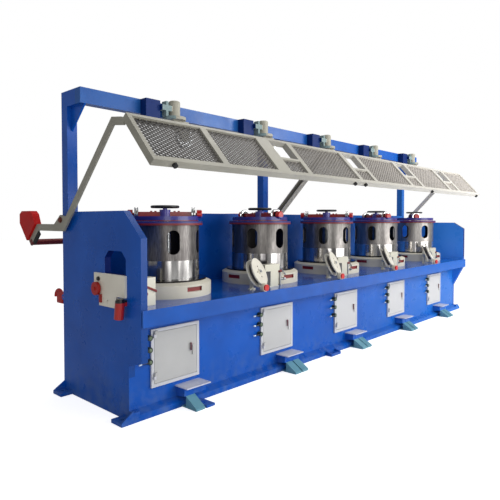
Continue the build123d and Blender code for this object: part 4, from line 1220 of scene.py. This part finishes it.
@dataclass
class Guard(Assembly):
    """The swinging guard with its mesh, arms and weights."""

    slope: float = 47.7
    length: float = 0.453
    top: Pair = (-0.480, 2.105)
    left: float = LEFT - 0.040
    right: float = RIGHT + 0.040
    side_bar: float = 0.034
    top_bar: float = 0.026
    bottom_bar: float = 0.038
    divider: float = 0.062
    wide_divider: float = 0.165
    window: Pair = (0.250, 0.215)
    window_offset: float = -0.410
    first_divider: float = -0.022
    mesh_behind: float = 0.019
    cell: float = 0.050
    strand: float = 0.0105
    strand_over: float = 2.6
    sheet: float = 0.006
    layer_gap: float = 0.2
    spare_strands: int = 2
    lean: float = 58.0
    pivot: Pair = (0.445, 1.388)
    pivot_bolt: Bar = (0.020, 0.014)

    def bays(self) -> list[Bay]:
        """List the meshed bays.

        Returns:
            The bays from left to right.
        """
        start, end = self.top_bar, self.length - self.bottom_bar
        first = FIRST_BLOCK + self.first_divider
        found = [Bay(self.left + self.side_bar, first, start, end)]
        left = first + self.divider
        for number in range(1, BLOCKS):
            window = FIRST_BLOCK + number * BLOCK_PITCH + self.window_offset
            gap = self.wide_divider if number == 1 else self.divider
            found.append(Bay(left, window - gap, start, end))
            found.append(Bay(window, window + self.window[0], start + self.window[1] + self.top_bar, end))
            left = window + self.window[0] + self.divider
        found.append(Bay(left, self.right - self.side_bar, start, end))
        return found

    def placing(self) -> Matrix:
        """Give the matrix from the guard's own plane to its raised place.

        Returns:
            A matrix that takes (x, down the slope, in front) to the shared frame.
        """
        angle = math.radians(self.slope)
        matrix = Matrix.Identity(4)
        matrix.col[1] = (0, -math.cos(angle), -math.sin(angle), 0)
        matrix.col[2] = (0, -math.sin(angle), math.cos(angle), 0)
        matrix.col[3] = (0, *self.top, 1)
        return matrix

    def lattice(self, bay: Bay) -> list[Piece]:
        """Make the crossed strands of one bay, trimmed to it.

        Args:
            bay: The bay to fill.

        Returns:
            The two layers of strands, in the guard's own plane.
        """
        down = bay.end - bay.start
        reach = bay.right - bay.left + down * (1 + 2 * math.tan(math.radians(self.lean)))
        count = int(reach / self.cell) + self.spare_strands
        layers = []
        for side in (-1, 1):
            layer = Bench.box((self.strand, down * self.strand_over, self.sheet),
                              (0, 0, side * self.sheet * self.layer_gap))
            layer.rotation_euler = (0, 0, side * math.radians(self.lean))
            layer.location = ((bay.left + bay.right) / 2 - count * self.cell / 2,
                              (bay.start + bay.end) / 2, -self.mesh_behind)
            Bench.settle()
            Bench.finish_with(layer, "ARRAY", count=count, use_relative_offset=False,
                              use_constant_offset=True, constant_offset_displace=(self.cell, 0, 0))
            self.trim(layer, bay)
            layers.append(layer)
        return layers

    def trim(self, piece: Piece, bay: Bay) -> None:
        """Cut a piece to a bay.

        Args:
            piece: The strands to cut, in the guard's own plane.
            bay: The bay that they fill.
        """
        Bench.only(piece)
        bpy.ops.object.mode_set(mode="EDIT")
        for at, out in (((bay.left, 0, 0), (-1, 0, 0)), ((bay.right, 0, 0), (1, 0, 0)),
                        ((0, bay.start, 0), (0, -1, 0)), ((0, bay.end, 0), (0, 1, 0))):
            bpy.ops.mesh.select_all(action="SELECT")
            bpy.ops.mesh.bisect(plane_co=at, plane_no=out, clear_outer=True, use_fill=True)
        bpy.ops.object.mode_set(mode="OBJECT")

    def build(self) -> None:
        """Dress the guard and hang its mesh."""
        mesh = Bench.joined([layer for bay in self.bays() for layer in self.lattice(bay)])
        mesh.data.transform(self.placing())
        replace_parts(self.add(mesh, "guard_lattice", MESH, "guard", "guard_cream"), "guard_mesh")
        for node in ("guard_frame", "guard_arms"):
            self.dress(node, GUARD_CREAM)
        self.dress("guard_weights", WEIGHT_RED)
        self.dress("guard_tie_bar", DARK_RED)
        self.pivot_bolts()
        self.dress("guard_bumpers", RUBBER)
        self.dress("guard_bearings", STEEL)

    def pivot_bolts(self) -> None:
        """Put the retaining bolt on the outer face of each end arm."""
        bolts = [Bench.bolt(*self.pivot_bolt, (x, *self.pivot), axis)
                 for x, axis in ((self.left, Axis.BACK_X), (self.right, Axis.X))]
        self.add(Bench.joined(bolts), "guard_pivot_bolts", RUST, "guard")


@dataclass(frozen=True)
class Lamp:
    """One soft lamp: its place, the point it faces, its width and height, and its power in watts."""

    name: str
    at: Point
    aim: Point
    size: Pair
    power: float

    def hang(self) -> None:
        """Hang the lamp in the scene."""
        data = bpy.data.lights.new(self.name, "AREA")
        data.shape = "RECTANGLE"
        data.size, data.size_y = self.size
        data.energy = self.power
        lamp = bpy.data.objects.new(self.name, data)
        lamp.location = self.at
        lamp.rotation_euler = (Vector(self.aim) - Vector(self.at)).to_track_quat("-Z", "Y").to_euler()
        bpy.context.scene.collection.objects.link(lamp)


@dataclass
class Studio:
    """The floor, the light and the camera at the photograph's place."""

    camera_at: Point = (-4.886, -3.345, 1.390)
    camera_yaw: float = 47.294
    camera_pitch: float = 1.656
    focal_pixels: float = 497.5
    centre_row: float = 234.1
    image_side: int = 500
    sensor: float = 36.0
    view_end: float = 200.0
    floor_side: float = 60.0
    floor_drop: float = 0.001
    footprint: Pair = (2.93, 0.47)
    floor_glow: float = 0.75
    sky_light: float = 0.36
    sky_tint: tuple[float, float, float, float] = (0.97, 0.98, 1.0, 1.0)
    lamps: tuple[Lamp, ...] = (
        Lamp("window", (2.0, -8.0, 2.4), (0.6, 0.0, 1.0), (7.0, 4.6), 345.0),
        Lamp("key", (5.5, -6.0, 4.5), (1.8, 0.0, 1.0), (3.0, 3.0), 325.0),
        Lamp("low_window", (-5.8, -6.6, 2.2), (-0.5, 0.0, 1.0), (2.6, 4.2), 80.0),
        Lamp("top", (1.0, 0.5, 6.5), (0.5, 0.0, 0.8), (4.0, 4.0), 100.0))

    def camera(self) -> None:
        """Place the camera."""
        data = bpy.data.cameras.new("camera")
        data.sensor_width = self.sensor
        data.lens = self.focal_pixels / self.image_side * self.sensor
        data.shift_y = (self.centre_row - self.image_side / 2) / self.image_side
        data.clip_end = self.view_end
        camera = bpy.data.objects.new("camera", data)
        bpy.context.scene.collection.objects.link(camera)
        yaw, pitch = math.radians(self.camera_yaw), math.radians(self.camera_pitch)
        look = Vector((math.sin(yaw) * math.cos(pitch), math.cos(yaw) * math.cos(pitch), -math.sin(pitch)))
        camera.location = self.camera_at
        camera.rotation_euler = look.to_track_quat("-Z", "Y").to_euler()
        bpy.context.scene.camera = camera

    def floor(self) -> None:
        """Lay a pale floor that is white to the camera round the machine but keeps the shadow."""
        Bench.clear()
        bpy.ops.mesh.primitive_plane_add(size=self.floor_side, location=(0, 0, -self.floor_drop))
        floor = bpy.context.object
        floor.name = "floor"
        graph = Graph("floor_white")
        spots = graph.remap(graph.noise(graph.place, scale=0.8), *PATTERN)
        graph.link(graph.mix(spots, (236, 236, 236), (232, 232, 233)), "Base Color")
        graph.plain(Roughness=0.9)
        rays = graph.nodes.new("ShaderNodeLightPath")
        x, y, _ = graph.parts(graph.place)
        beside, before = (graph.math("GREATER_THAN", graph.math("ABSOLUTE", part), edge)
                          for part, edge in zip((x, y), self.footprint))
        glow = graph.math("MULTIPLY", graph.either(beside, before), self.floor_glow)
        graph.shader.inputs["Emission Color"].default_value = linear((255, 255, 255))
        graph.link(graph.math("MULTIPLY", rays.outputs["Is Camera Ray"], glow), "Emission Strength")
        floor.data.materials.append(graph.material)

    def world(self) -> None:
        """Surround the scene with white, as a softer light than it looks."""
        world = bpy.data.worlds.new("studio_white")
        world.use_nodes = True
        bpy.context.scene.world = world
        nodes, links = world.node_tree.nodes, world.node_tree.links
        nodes.clear()
        output = nodes.new("ShaderNodeOutputWorld")
        shown = nodes.new("ShaderNodeBackground")
        light = nodes.new("ShaderNodeBackground")
        shown.inputs["Color"].default_value = linear((255, 255, 255))
        light.inputs["Color"].default_value = self.sky_tint
        light.inputs["Strength"].default_value = self.sky_light
        mixed = nodes.new("ShaderNodeMixShader")
        rays = nodes.new("ShaderNodeLightPath")
        links.new(rays.outputs["Is Camera Ray"], mixed.inputs[0])
        links.new(light.outputs[0], mixed.inputs[1])
        links.new(shown.outputs[0], mixed.inputs[2])
        links.new(mixed.outputs[0], output.inputs[0])

    def build(self) -> None:
        """Set up the whole studio."""
        self.camera()
        self.floor()
        self.world()
        for lamp in self.lamps:
            lamp.hang()


def main() -> None:
    """Build every sub-assembly in order."""
    logging.basicConfig(level=logging.INFO, format="%(name)s %(message)s")
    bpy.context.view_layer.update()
    bpy.context.scene.view_settings.view_transform = "Standard"
    Studio().build()
    for assembly in (Cabinet(), Portal(), Doors(), DrawingBlocks(), TableFittings(), Guard()):
        assembly.build()
        assembly.report()


if __name__ == "__main__":
    main()
